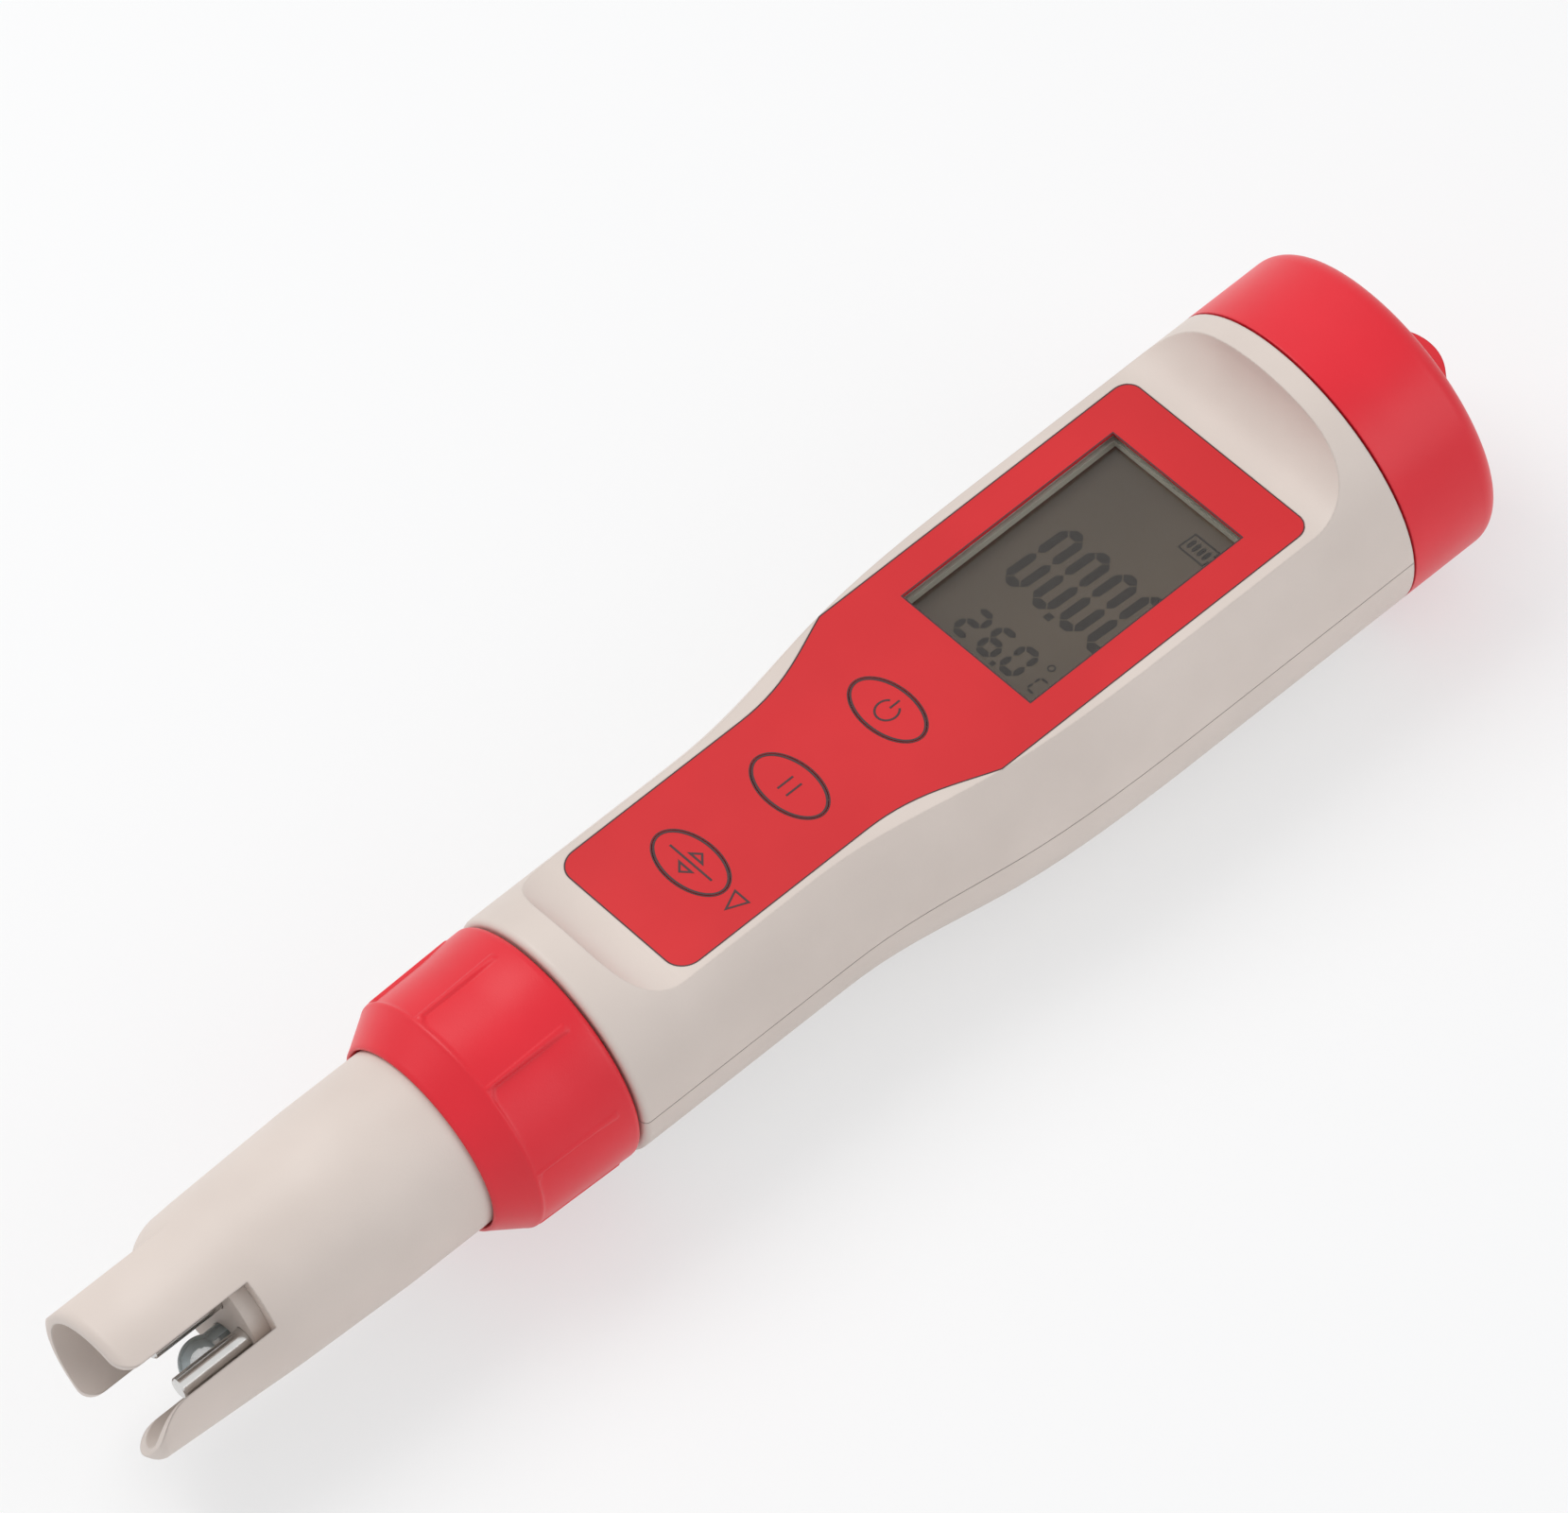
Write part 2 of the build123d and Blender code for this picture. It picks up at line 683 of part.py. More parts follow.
# Battery cap: screwed cup with the lanyard lug on its end
with BuildPart() as battery_cap:
    turn([
        (joint_x + joint_gap, cap_bore_radius),
        (joint_x + joint_gap, head_radius),
        (cap_end_x, head_radius),
        (cap_end_x, 0),
        (cap_inner_x, 0),
        (cap_inner_x, cap_bore_radius),
    ], rounds=[((cap_end_x, head_radius), cap_round)])
    with BuildSketch(Plane.XY.offset(axis_z - lug_thickness / 2)) as lug:
        with Locations((cap_end_x, 0)):
            Circle(lug_radius)
        with Locations((cap_end_x - cap_roof / 2 - lug_radius, 0)):
            Rectangle(2 * lug_radius, 2 * lug_radius, mode=Mode.SUBTRACT)
        with Locations((cap_end_x + lanyard_hole_at, 0)):
            Circle(lanyard_hole_radius, mode=Mode.SUBTRACT)
    extrude(amount=lug_thickness)
finish(battery_cap, "battery_cap")

# Cap contact: disc that presses on the top cell, with its coil spring
disc_x = cell_top_x + cap_disc_thickness
with BuildPart() as contact_disc:
    bar(cell_top_x, disc_x, cap_disc_radius)
finish(contact_disc, "contact_disc")

spring_room = cap_inner_x - disc_x - 2 * spring_wire
with BuildPart() as contact_spring:
    with BuildLine() as coil:
        Helix(pitch=spring_room / spring_turns, height=spring_room, radius=spring_radius,
              center=(disc_x + spring_wire, 0, axis_z), direction=(1, 0, 0))
    with BuildSketch(Plane(origin=coil.line @ 0, z_dir=coil.line % 0)) as wire_end:
        Circle(spring_wire)
    sweep(wire_end.sketch.faces(), path=coil.line)
finish(contact_spring, "contact_spring")

# Probe neck: screwed spigot that the lock ring runs on, clamped between the shells
with BuildPart() as probe_neck:
    turn([
        (socket_neck_x, socket_neck_bore),
        (socket_neck_x, socket_neck_radius),
        (shell_front_x + front_end_wall, socket_neck_radius),
        (shell_front_x + front_end_wall, socket_flange_radius),
        (shell_front_x + front_end_wall + socket_flange_thickness, socket_flange_radius),
        (shell_front_x + front_end_wall + socket_flange_thickness, socket_neck_bore),
    ])
    for i in range(3):
        x = socket_neck_x + thread_foot_width + i * ring_pitch
        turn([
            (x - thread_foot_width / 2, socket_neck_radius - running_gap),
            (x - thread_foot_width / 2, socket_neck_radius),
            (x - thread_top_width / 2, socket_thread_radius),
            (x + thread_top_width / 2, socket_thread_radius),
            (x + thread_foot_width / 2, socket_neck_radius),
            (x + thread_foot_width / 2, socket_neck_radius - running_gap),
        ])
finish(probe_neck, "probe_neck")

# Probe socket: round connector block that the probe's pins push into
pin_places = PolarLocations(pin_circle_radius, pin_count)
with BuildPart() as probe_socket:
    bar(socket_front_x, socket_back_x, socket_neck_bore - running_gap)
    with BuildSketch(Plane(origin=(socket_front_x, 0, axis_z), x_dir=(0, 1, 0),
                           z_dir=(1, 0, 0))) as socket_holes:
        with pin_places:
            Circle(pin_radius + running_gap)
    extrude(socket_holes.sketch.faces(), amount=pin_reach + joint_gap, mode=Mode.SUBTRACT)
finish(probe_socket, "probe_socket")

# Ribbon cable: short flat cable from the socket to the underside of the board
board_front_x = label_start_x - board_start
with BuildPart() as ribbon_cable:
    with BuildSketch(side_plane) as ribbon:
        with BuildLine():
            low = board_z - axis_z - ribbon_thickness
            Polyline(
                (socket_back_x, -ribbon_thickness),
                (socket_back_x + 1, -ribbon_thickness),
                (board_front_x - 0.5, low),
                (board_front_x + ribbon_overlap, low),
                (board_front_x + ribbon_overlap, low + ribbon_thickness),
                (board_front_x - 0.7, low + ribbon_thickness),
                (socket_back_x + 0.8, 0),
                (socket_back_x, 0),
                close=True,
            )
        make_face()
    extrude(amount=ribbon_width / 2, both=True)
finish(ribbon_cable, "ribbon_cable")

# Lock ring: screwed collar with a cone at the front and eight fine grip ribs
ring_opening = probe_radius + 2 * running_gap + loose_gap
rib_front_x = ring_front_x + ring_cone_start
rib_back_x = ring_back_x - rib_back_margin
with BuildPart() as lock_ring:
    turn([
        (ring_back_x, ring_bore_radius),
        (ring_back_x, ring_radius),
        (rib_front_x, ring_cone_radius),
        (ring_front_x, ring_front_radius),
        (ring_front_x, ring_opening),
        (flange_x, ring_opening),
        (flange_x, ring_bore_radius),
    ], rounds=[((ring_back_x, ring_radius), ring_back_round),
               ((rib_front_x, ring_cone_radius), ring_back_round)])
    for i in range(rib_count):
        angle = radians(rib_turn + i * 360 / rib_count)
        rib_plane = Plane(origin=(0, 0, axis_z), x_dir=(1, 0, 0),
                          z_dir=(0, -cos(angle), -sin(angle)))
        with BuildSketch(rib_plane) as rib:
            with BuildLine():
                Polyline(
                    (rib_front_x - 0.3, ring_cone_radius - 1),
                    (rib_front_x - 0.1, ring_cone_radius + rib_proud),
                    (rib_back_x - 0.6, ring_radius + rib_proud),
                    (rib_back_x, ring_radius - 1),
                    close=True,
                )
            make_face()
        extrude(rib.sketch.faces(), amount=rib_width / 2, both=True)
finish(lock_ring, "lock_ring")

# Sealing washer between the probe's flange and the neck
with BuildPart() as sealing_washer:
    turn([
        (washer_x, washer_inner_radius),
        (washer_x, socket_neck_radius - running_gap),
        (socket_neck_x, socket_neck_radius - running_gap),
        (socket_neck_x, washer_inner_radius),
    ])
finish(sealing_washer, "sealing_washer")

# Space in and between the wings of the probe's guard, with the domed end left whole
slot_root_x = tip_x + dome_start_back
guard_outer = probe_radius + 1
with BuildPart() as guard_space:
    bar(tip_x - 1, slot_root_x, guard_bore_radius)
    with BuildSketch(slot_plane) as slot:
        with BuildLine():
            Polyline((tip_x - 1, slot_near_side + 1), (slot_root_x, slot_near_side + 1),
                     (slot_root_x, slot_far_side), (tip_x - 1, slot_far_side), close=True)
        make_face()
        with BuildLine():
            Polyline((tip_x - 1, slot_near_side), (tip_x - 1, slot_near_side + 1.5),
                     (slot_root_x, slot_near_side + 1.5), (slot_root_x, slot_near_side), close=True)
        make_face(mode=Mode.SUBTRACT)
        with BuildLine():
            Line((tip_x - 1, slot_far_side), (tip_x + slot_mouth_far, slot_far_side))
            RadiusArc((tip_x + slot_mouth_far, slot_far_side),
                      (tip_x, slot_far_side - slot_mouth_far * 0.55), -slot_mouth_far * 1.2)
            Polyline((tip_x, slot_far_side - slot_mouth_far * 0.55),
                     (tip_x - 1, slot_far_side - slot_mouth_far * 0.55), (tip_x - 1, slot_far_side))
        make_face()
        with BuildLine():
            Line((tip_x - 1, slot_near_side), (tip_x + slot_mouth_near, slot_near_side))
            RadiusArc((tip_x + slot_mouth_near, slot_near_side),
                      (tip_x, slot_near_side + slot_mouth_near), slot_mouth_near)
            Polyline((tip_x, slot_near_side + slot_mouth_near),
                     (tip_x - 1, slot_near_side + slot_mouth_near), (tip_x - 1, slot_near_side))
        make_face()
    extrude(slot.sketch.faces(), amount=guard_outer, both=True)
    with BuildSketch(slot_plane) as side_cut:
        with BuildLine():
            Polyline((tip_x - 1, side_flat), (slot_root_x, side_flat),
                     (slot_root_x, guard_outer), (tip_x - 1, guard_outer), close=True)
        make_face()
    extrude(side_cut.sketch.faces(), amount=guard_outer, both=True)
    with BuildSketch(side_plane) as dome:
        rim_radius = probe_mid_radius - (probe_mid_radius - tip_radius) * (
            probe_mid_back - dome_start_back) / probe_mid_back
        with BuildLine():
            Polyline((slot_root_x + 1, 0), (slot_root_x + 1, rim_radius), (slot_root_x, rim_radius))
            Spline((slot_root_x, rim_radius), (dome_face_x, dome_face_radius),
                   tangents=[(-1, 0), (-0.6, -1)])
            Polyline((dome_face_x, dome_face_radius), (dome_face_x, 0), (slot_root_x + 1, 0))
        make_face()
    revolve(dome.sketch.faces(), axis=pen_axis, mode=Mode.SUBTRACT)

steel_pin_points = [sensor_point(place) for place in steel_pin_places]
bulb_point = sensor_point(bulb_place)
junction_point = sensor_point(junction_place)
thermometer_point = sensor_point(thermometer_place)
bulb_x = tip_x + bulb_centre_back

# Probe shroud: flanged tube, domed end with the sensors' holes, and two guard wings
with BuildPart() as probe_shroud:
    turn([
        (washer_x, 0),
        (washer_x, probe_flange_radius),
        (flange_x, probe_flange_radius),
        (flange_x, probe_radius),
        (flange_x - probe_straight, probe_radius),
        (tip_x + probe_mid_back, probe_mid_radius),
        (tip_x, tip_radius),
        (tip_x, 0),
    ], rounds=[((tip_x, tip_radius), guard_round)])
    add(guard_space.part, mode=Mode.SUBTRACT)
    bar(core_face_x, washer_x, core_radius + running_gap, mode=Mode.SUBTRACT)
    for y, z in steel_pin_points:
        bar(tip_x, core_face_x, steel_pin_radius + running_gap, y, z, mode=Mode.SUBTRACT)
    bar(tip_x, core_face_x, bulb_radius + running_gap, *bulb_point, mode=Mode.SUBTRACT)
    bar(tip_x, core_face_x, junction_radius + running_gap, *junction_point, mode=Mode.SUBTRACT)
    bar(tip_x, core_face_x, thermometer_radius + running_gap, *thermometer_point,
        mode=Mode.SUBTRACT)
finish(probe_shroud, "probe_shroud")

# Probe core: carrier that holds the sensors inside the shroud
steel_pin_x = tip_x + steel_pin_tip_back
steel_pin_end_x = steel_pin_x + steel_pin_length
junction_x = dome_face_x - junction_proud
junction_end_x = junction_x + junction_length
thermometer_x = dome_face_x - thermometer_proud
thermometer_end_x = thermometer_x + thermometer_length
short_sensors = [(point, steel_pin_radius, steel_pin_end_x) for point in steel_pin_points]
short_sensors.append((junction_point, junction_radius, junction_end_x))
short_sensors.append((thermometer_point, thermometer_radius, thermometer_end_x))
with BuildPart() as probe_core:
    bar(core_face_x, core_back_x - probe_board_thickness, core_radius)
    for (y, z), radius, end_x in short_sensors:
        bar(core_face_x, end_x, radius + running_gap, y, z, mode=Mode.SUBTRACT)
        bar(end_x, core_back_x, lead_radius + running_gap, y, z, mode=Mode.SUBTRACT)
    bar(core_face_x, core_back_x, stem_radius + running_gap, *bulb_point, mode=Mode.SUBTRACT)
    bar(core_face_x, bulb_x + bulb_radius + running_gap, bulb_radius + running_gap, *bulb_point,
        mode=Mode.SUBTRACT)
finish(probe_core, "probe_core")

# Steel pins: the two conductivity electrodes
for number, (y, z) in enumerate(steel_pin_points):
    with BuildPart() as steel_pin:
        bar(steel_pin_x, steel_pin_end_x, steel_pin_radius, y, z)
        tip_edge = steel_pin.edges().filter_by(GeomType.CIRCLE).group_by(Axis.X)[0]
        chamfer(tip_edge, 0.2)
    finish(steel_pin, f"steel_pin_{number + 1}")

# Glass electrode: thin bulb on a long stem, hollow
stem_end_x = core_back_x - probe_board_thickness
bulb_plane = Plane(origin=(0, bulb_point[0], bulb_point[1]), x_dir=(1, 0, 0), z_dir=(0, -1, 0))
bulb_axis = Axis((0, bulb_point[0], bulb_point[1]), (1, 0, 0))
with BuildPart() as glass_electrode:
    for bulb_size, stem_size, solid in (
        (bulb_radius, stem_radius, Mode.ADD),
        (bulb_radius - glass_wall, stem_radius - glass_wall, Mode.SUBTRACT),
    ):
        with Locations((bulb_x, *bulb_point)):
            Sphere(bulb_size, mode=solid)
        bar(bulb_x, stem_end_x, stem_size, *bulb_point, mode=solid)
finish(glass_electrode, "glass_electrode")

# Silver wire inside the glass, from the bulb back to the probe's board
with BuildPart() as silver_wire:
    bar(bulb_x - 1, stem_end_x, silver_wire_radius, *bulb_point)
finish(silver_wire, "silver_wire")

# Reference junction: porous plug that lies almost level with the domed end
with BuildPart() as reference_junction:
    bar(junction_x, junction_end_x, junction_radius, *junction_point)
finish(reference_junction, "reference_junction")

# Thermometer: steel thimble with a domed end
with BuildPart() as thermometer:
    bar(thermometer_x, thermometer_end_x, thermometer_radius, *thermometer_point)
    dome_edge = thermometer.edges().filter_by(GeomType.CIRCLE).group_by(Axis.X)[0]
    fillet(dome_edge, thermometer_radius * 0.8)
finish(thermometer, "thermometer")

# Leads from the short sensors back to the probe's board
with BuildPart() as sensor_leads:
    for (y, z), radius, end_x in short_sensors:
        bar(end_x, stem_end_x, lead_radius, y, z)
finish(sensor_leads, "sensor_leads")

# Probe board: round board across the back of the core
with BuildPart() as probe_board:
    bar(stem_end_x, core_back_x, core_radius)
finish(probe_board, "probe_board")

# Probe plug: closes the shroud and carries the contact pins
with BuildPart() as probe_plug:
    turn([
        (core_back_x, 0),
        (core_back_x, core_radius),
        (washer_x, core_radius),
        (washer_x, plug_radius),
        (plug_end_x, plug_radius),
        (plug_end_x, 0),
    ])
    plug_seal_x = washer_x + washer_thickness + plug_seal_at
    turn([
        (plug_seal_x - groove, plug_radius - 2 * seal_section),
        (plug_seal_x - groove, plug_radius + 1),
        (plug_seal_x + groove, plug_radius + 1),
        (plug_seal_x + groove, plug_radius - 2 * seal_section),
    ], mode=Mode.SUBTRACT)
    with BuildSketch(Plane(origin=(core_back_x, 0, axis_z), x_dir=(0, 1, 0),
                           z_dir=(1, 0, 0))) as plug_holes:
        with pin_places:
            Circle(pin_radius)
    extrude(plug_holes.sketch.faces(), amount=plug_end_x - core_back_x, mode=Mode.SUBTRACT)
finish(probe_plug, "probe_plug")

with BuildPart() as plug_seal:
    with BuildSketch(side_plane) as plug_seal_end:
        with Locations((plug_seal_x, socket_neck_bore - running_gap - seal_section)):
            Circle(seal_section - running_gap)
    revolve(plug_seal_end.sketch.faces(), axis=pen_axis)
finish(plug_seal, "plug_seal")

# Contact pins: six pins from the probe's board into the socket
with BuildPart() as contact_pins:
    with BuildSketch(Plane(origin=(core_back_x, 0, axis_z), x_dir=(0, 1, 0),
                           z_dir=(1, 0, 0))) as pin_ends:
        with pin_places:
            Circle(pin_radius)
    extrude(pin_ends.sketch.faces(), amount=plug_end_x - core_back_x + pin_reach)
finish(contact_pins, "contact_pins")

print("overall length", overall_length)
print("joint line at x", joint_x, "ring back at x", ring_back_x, "tip at x", tip_x)
print("lanyard hole at x", cap_end_x + lanyard_hole_at)
print("cap travel", cap_pitch * cap_turns, "ring travel", socket_neck_reach)
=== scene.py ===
# %% [markdown]
# # A water quality test pen
#
# The pen is a hand-held instrument: a grey two-piece body with a red label, a small
# display and three keys, a red battery cap, and a grey probe that a red ring holds.
# Its shape arrives ready made, as solids that already sit in the right place. This
# lesson dresses them: it paints every surface, prints the label and the display, and
# gives the lock ring the moulded panels that a plain turned solid lacks. The box round
# the bare solids is kept, to compare with the box round the dressed pen at the end.

from math import cos, pi, radians, sin

import bpy
from mathutils import Matrix, Vector


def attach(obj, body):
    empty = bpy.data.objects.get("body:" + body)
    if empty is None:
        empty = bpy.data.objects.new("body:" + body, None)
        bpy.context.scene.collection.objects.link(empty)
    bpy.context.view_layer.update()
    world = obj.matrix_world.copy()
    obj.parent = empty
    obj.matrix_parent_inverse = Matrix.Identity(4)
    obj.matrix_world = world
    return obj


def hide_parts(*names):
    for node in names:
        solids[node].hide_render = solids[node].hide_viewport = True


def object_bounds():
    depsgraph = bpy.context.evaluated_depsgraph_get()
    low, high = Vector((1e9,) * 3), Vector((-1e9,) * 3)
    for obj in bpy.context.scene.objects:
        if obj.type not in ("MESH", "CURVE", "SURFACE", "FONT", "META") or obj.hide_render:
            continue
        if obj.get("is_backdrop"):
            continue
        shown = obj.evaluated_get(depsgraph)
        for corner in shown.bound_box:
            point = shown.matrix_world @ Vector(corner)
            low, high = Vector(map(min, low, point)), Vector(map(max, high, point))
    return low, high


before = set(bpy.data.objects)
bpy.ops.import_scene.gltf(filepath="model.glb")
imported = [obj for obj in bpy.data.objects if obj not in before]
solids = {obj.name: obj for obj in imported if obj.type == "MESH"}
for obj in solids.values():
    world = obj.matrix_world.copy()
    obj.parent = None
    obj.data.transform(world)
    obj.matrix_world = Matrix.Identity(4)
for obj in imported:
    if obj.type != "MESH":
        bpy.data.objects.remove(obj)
cad_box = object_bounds()
print("solids:", len(solids))
print("bare box:", [tuple(round(1000 * v, 1) for v in corner) for corner in cad_box])

# %% [markdown]
# Sizes are easier to read in millimetres, so every size below is in millimetres and
# goes through one factor. The pen's axis lies a cap's radius above the floor.

# %% Shared sizes
MM = 0.001
axis_height = 19.0
label_top = 29.05
glass_top = 26.7
key_stations = (-10.8, 3.1, 17.0)
view_centre = 43.3
view_length = 30.4
view_width = 20.8


def on_pen(along, radius, turn):
    """A point at a radius from the pen's axis, turned from straight up towards +Y."""
    return (along * MM, radius * sin(turn) * MM, (axis_height + radius * cos(turn)) * MM)


print("label top at", label_top, "mm, display glass at", glass_top, "mm")

# %% [markdown]
# ## Shader maths as plain expressions
#
# A finish here is worked out from where a point lies on the pen: grain is noise, a seam
# is a narrow band of heights. Wiring that by hand takes dozens of nodes. One could use
# node groups, but a small class that stands for a socket is easier to read: adding two
# of them makes the Add node, and the formula stays on one line.

# %% A socket that can be calculated with
bevel_samples = 6


class Amount:
    """A number, colour or direction that varies over a surface."""

    def __init__(self, wiring, socket):
        self.wiring = wiring
        self.socket = socket

    def do(self, operation, *others):
        return self.wiring.node("ShaderNodeMath", {"operation": operation}, self, *others)

    def __add__(self, other):
        return self.do("ADD", other)

    def __radd__(self, other):
        return self.do("ADD", other)

    def __sub__(self, other):
        return self.do("SUBTRACT", other)

    def __rsub__(self, other):
        return self.wiring.node("ShaderNodeMath", {"operation": "SUBTRACT"}, other, self)

    def __mul__(self, other):
        return self.do("MULTIPLY", other)

    def __abs__(self):
        return self.do("ABSOLUTE")

    def ramp(self, start, end):
        """0 below start, 1 above end, smooth between."""
        settings = {"interpolation_type": "SMOOTHSTEP"}
        return self.wiring.node("ShaderNodeMapRange", settings, self, start, end, 0.0, 1.0)


class Wiring:
    """A node tree, of a material or of the sky, that nodes are added to."""

    def __init__(self, tree):
        self.tree = tree

    def feed(self, socket, value):
        if isinstance(value, Amount):
            self.tree.links.new(value.socket, socket)
        elif value is not None:
            socket.default_value = value

    def node(self, kind, settings, *values, out=0, **named):
        """Makes a node: its settings first, then the values or links of its sockets."""
        made = self.tree.nodes.new(kind)
        for key, value in settings.items():
            setattr(made, key, value)
        for socket, value in zip(made.inputs, values):
            self.feed(socket, value)
        for key, value in named.items():
            self.feed(made.inputs[key.replace("_", " ")], value)
        return Amount(self, made.outputs[out])

    def seen_straight(self):
        """1 where the camera, a mirror or clear plastic looks, 0 where light is gathered."""
        rays = [self.node("ShaderNodeLightPath", {}, out=f"Is {kind} Ray")
                for kind in ("Camera", "Glossy", "Transmission")]
        return rays[0].do("MAXIMUM", rays[1]).do("MAXIMUM", rays[2])


class Paint(Wiring):
    """A material in the making: its node tree and its main shader."""

    def __init__(self, name, **constants):
        self.material = bpy.data.materials.new(name)
        self.material.use_nodes = True
        super().__init__(self.material.node_tree)
        self.shader = self.tree.nodes["Principled BSDF"]
        self.set(**constants)
        self.place = self.node("ShaderNodeTexCoord", {}, out="Object")
        axes = [self.node("ShaderNodeSeparateXYZ", {}, self.place, out=axis) for axis in "YZ"]
        self.y, self.z = (axis * (1 / MM) for axis in axes)

    def noise(self, size, detail=2.0, rough=0.5):
        """Cloudy noise whose lumps are about size millimetres across."""
        return self.node("ShaderNodeTexNoise", {}, Vector=self.place, Scale=1 / MM / size,
                         Detail=detail, Roughness=rough)

    def blend(self, amount, first, second):
        """Colour that goes from first to second, through a Mix node's colour sockets."""
        other_kinds = [None] * 5
        return self.node("ShaderNodeMix", {"data_type": "RGBA"}, amount, *other_kinds, first,
                         second, out=2)

    def wears(self, name):
        """What the shader's socket is fed with now."""
        return Amount(self, self.shader.inputs[name].links[0].from_socket)

    def soft_edges(self, radius):
        """Normals as if sharp edges were rounded to this radius in millimetres."""
        return self.node("ShaderNodeBevel", {"samples": bevel_samples}, Radius=radius * MM)

    def bump(self, height, depth, normal=None):
        return self.node("ShaderNodeBump", {}, Height=height, Strength=1.0,
                         Distance=depth * MM, Normal=normal)

    def set(self, **sockets):
        for name, value in sockets.items():
            self.feed(self.shader.inputs[name.replace("_", " ")], value)
        return self


def ink(red, green, blue):
    """A screen colour, 0 to 255, as the linear colour that Blender works in."""
    linear = [((v / 255 + 0.055) / 1.055) ** 2.4 for v in (red, green, blue)]
    return (*linear, 1.0)


print("shader helpers ready")

# %% [markdown]
# ## Moulded plastic
#
# The body, cap, ring and probe are injection mouldings with a fine spark-eroded grain,
# so their highlights are broad and soft. A flat colour with one roughness looks like
# computer plastic. The recipe here is three scales of noise: a grain of a sixth of a
# millimetre as bump, faint clouding of the colour, and patches that hands have polished
# a little in the roughness.

# %% Moulded plastic
cloud_size = 24.0
handled_size = 9.0
body_look = dict(colour=ink(221, 208, 199), deep=ink(210, 197, 188), roughness=0.46,
                 grain_depth=0.010, edge=0.35)


def moulded(name, colour, deep, roughness, grain_depth, edge=0.25, grain=0.16):
    paint = Paint(name, Specular_IOR_Level=0.42)
    grain_noise = paint.noise(grain, 2.0, 0.6)
    cloud = paint.noise(cloud_size, 3.0, 0.55)
    handled = paint.noise(handled_size, 3.0, 0.6)
    tone = cloud.ramp(0.30, 0.72) * 0.75 + grain_noise * 0.25
    paint.set(
        Base_Color=paint.blend(tone, deep, colour),
        Roughness=roughness + (handled - 0.5) * 0.10 + (grain_noise - 0.5) * 0.05,
        Normal=paint.bump(grain_noise, grain_depth, paint.soft_edges(edge)),
    )
    return paint


grey = moulded("grey_moulded", **body_look)
red = moulded("red_moulded", ink(228, 32, 48), ink(216, 24, 40), 0.36, 0.012, 0.30)
black = moulded("black_moulded", ink(38, 38, 41), ink(28, 28, 31), 0.50, 0.010)
white = moulded("white_moulded", ink(225, 224, 218), ink(210, 208, 200), 0.45, 0.008)
inner_grey = moulded("inner_grey", ink(212, 200, 191), ink(200, 188, 179), 0.50, 0.008)
print("plastics:", [p.material.name for p in (grey, red, black, white, inner_grey)])

# %% [markdown]
# The body's two halves meet in a line just under the middle, which the mould leaves as
# a hairline. The solids meet face to face there, so the line would vanish. A narrow
# band of heights darkens and dips the same grey paint, which costs no geometry.

# %% Body plastic with the seam
seam_height = 17.5
seam_half_width = 0.07
seam_depth = 0.05
seam_shade = 0.45


def body_plastic():
    paint = moulded("grey_body", **body_look)
    seam = 1.0 - abs(paint.z - seam_height).ramp(seam_half_width * 0.4, seam_half_width)
    return paint.set(
        Base_Color=paint.blend(seam * seam_shade, paint.wears("Base Color"), ink(112, 104, 96)),
        Normal=paint.bump(1.0 - seam, seam_depth, paint.wears("Normal")),
    )


grey_body = body_plastic()
print("seam at", seam_height, "mm")

# %% [markdown]
# ## Label film
#
# The front label is a printed polycarbonate film with a velvet finish, redder and
# flatter than the moulded red. Its texture is finer than the moulding's, so the noise
# is smaller and shallower.

# %% Label film
label_film = moulded("label_film", ink(209, 27, 34), ink(199, 19, 28), 0.55, 0.006, 0.10, 0.11)
print_ink = Paint("print_ink", Roughness=0.5, Base_Color=ink(52, 16, 22))
ink_speck = print_ink.noise(0.2)
print_ink.set(Base_Color=print_ink.blend(ink_speck, ink(44, 12, 18), ink(66, 22, 28)))
print("label film and ink")

# %% [markdown]
# ## Display
#
# A liquid crystal display is a grey green sandwich of glass with dark segments in it.
# It looks dull because it only returns room light. The glass is painted as one
# opaque, glossy sheet with slow clouding and a painted shade that darkens it towards
# plus Y, and the segments are thin pieces on it. The lens in front is clear plastic:
# see-through face on, and mirror-like at a slant, which Fresnel gives. A ray meets both
# faces of the lens, so only a part of each is used.

# %% Display finishes
display = Paint("display_sheet", Roughness=0.3, Specular_IOR_Level=0.15)
display_cloud = display.noise(16.0, 2.0, 0.5)
display_speck = display.noise(0.35, 1.0, 0.5)
# Painted shade: besides random clouding and specks, the sheet's colour darkens steadily towards plus Y,
# standing in for the way light and reflection fall across it.
display_tone_and_painted_shade = display_cloud * 0.5 + display_speck * 0.1 + (display.y + 10.0) * 0.025
display.set(Base_Color=display.blend(display_tone_and_painted_shade, ink(92, 80, 66), ink(66, 56, 46)))

segment_ink = Paint("segment_ink", Roughness=0.5, Specular_IOR_Level=0.1)
segment_tone = segment_ink.noise(3.0)
segment_ink.set(Base_Color=segment_ink.blend(segment_tone, ink(30, 24, 20), ink(40, 33, 28)))

well_grey = moulded("well_grey", ink(206, 204, 188), ink(188, 186, 170), 0.5, 0.004, 0.05)

lens = Paint("clear_lens", Base_Color=ink(232, 232, 230), Metallic=1.0)
lens_gloss = lens.node("ShaderNodeFresnel", {}, IOR=1.49)
lens_gloss_share = 0.3
lens_dust = lens.noise(0.8, 4.0, 0.7).ramp(0.68, 0.80)
lens_dust_share = 0.05
lens.set(Alpha=lens_gloss * lens_gloss_share + lens_dust * lens_dust_share,
         Roughness=0.05 + lens.noise(5.0, 3.0) * 0.06)
print("display finishes")

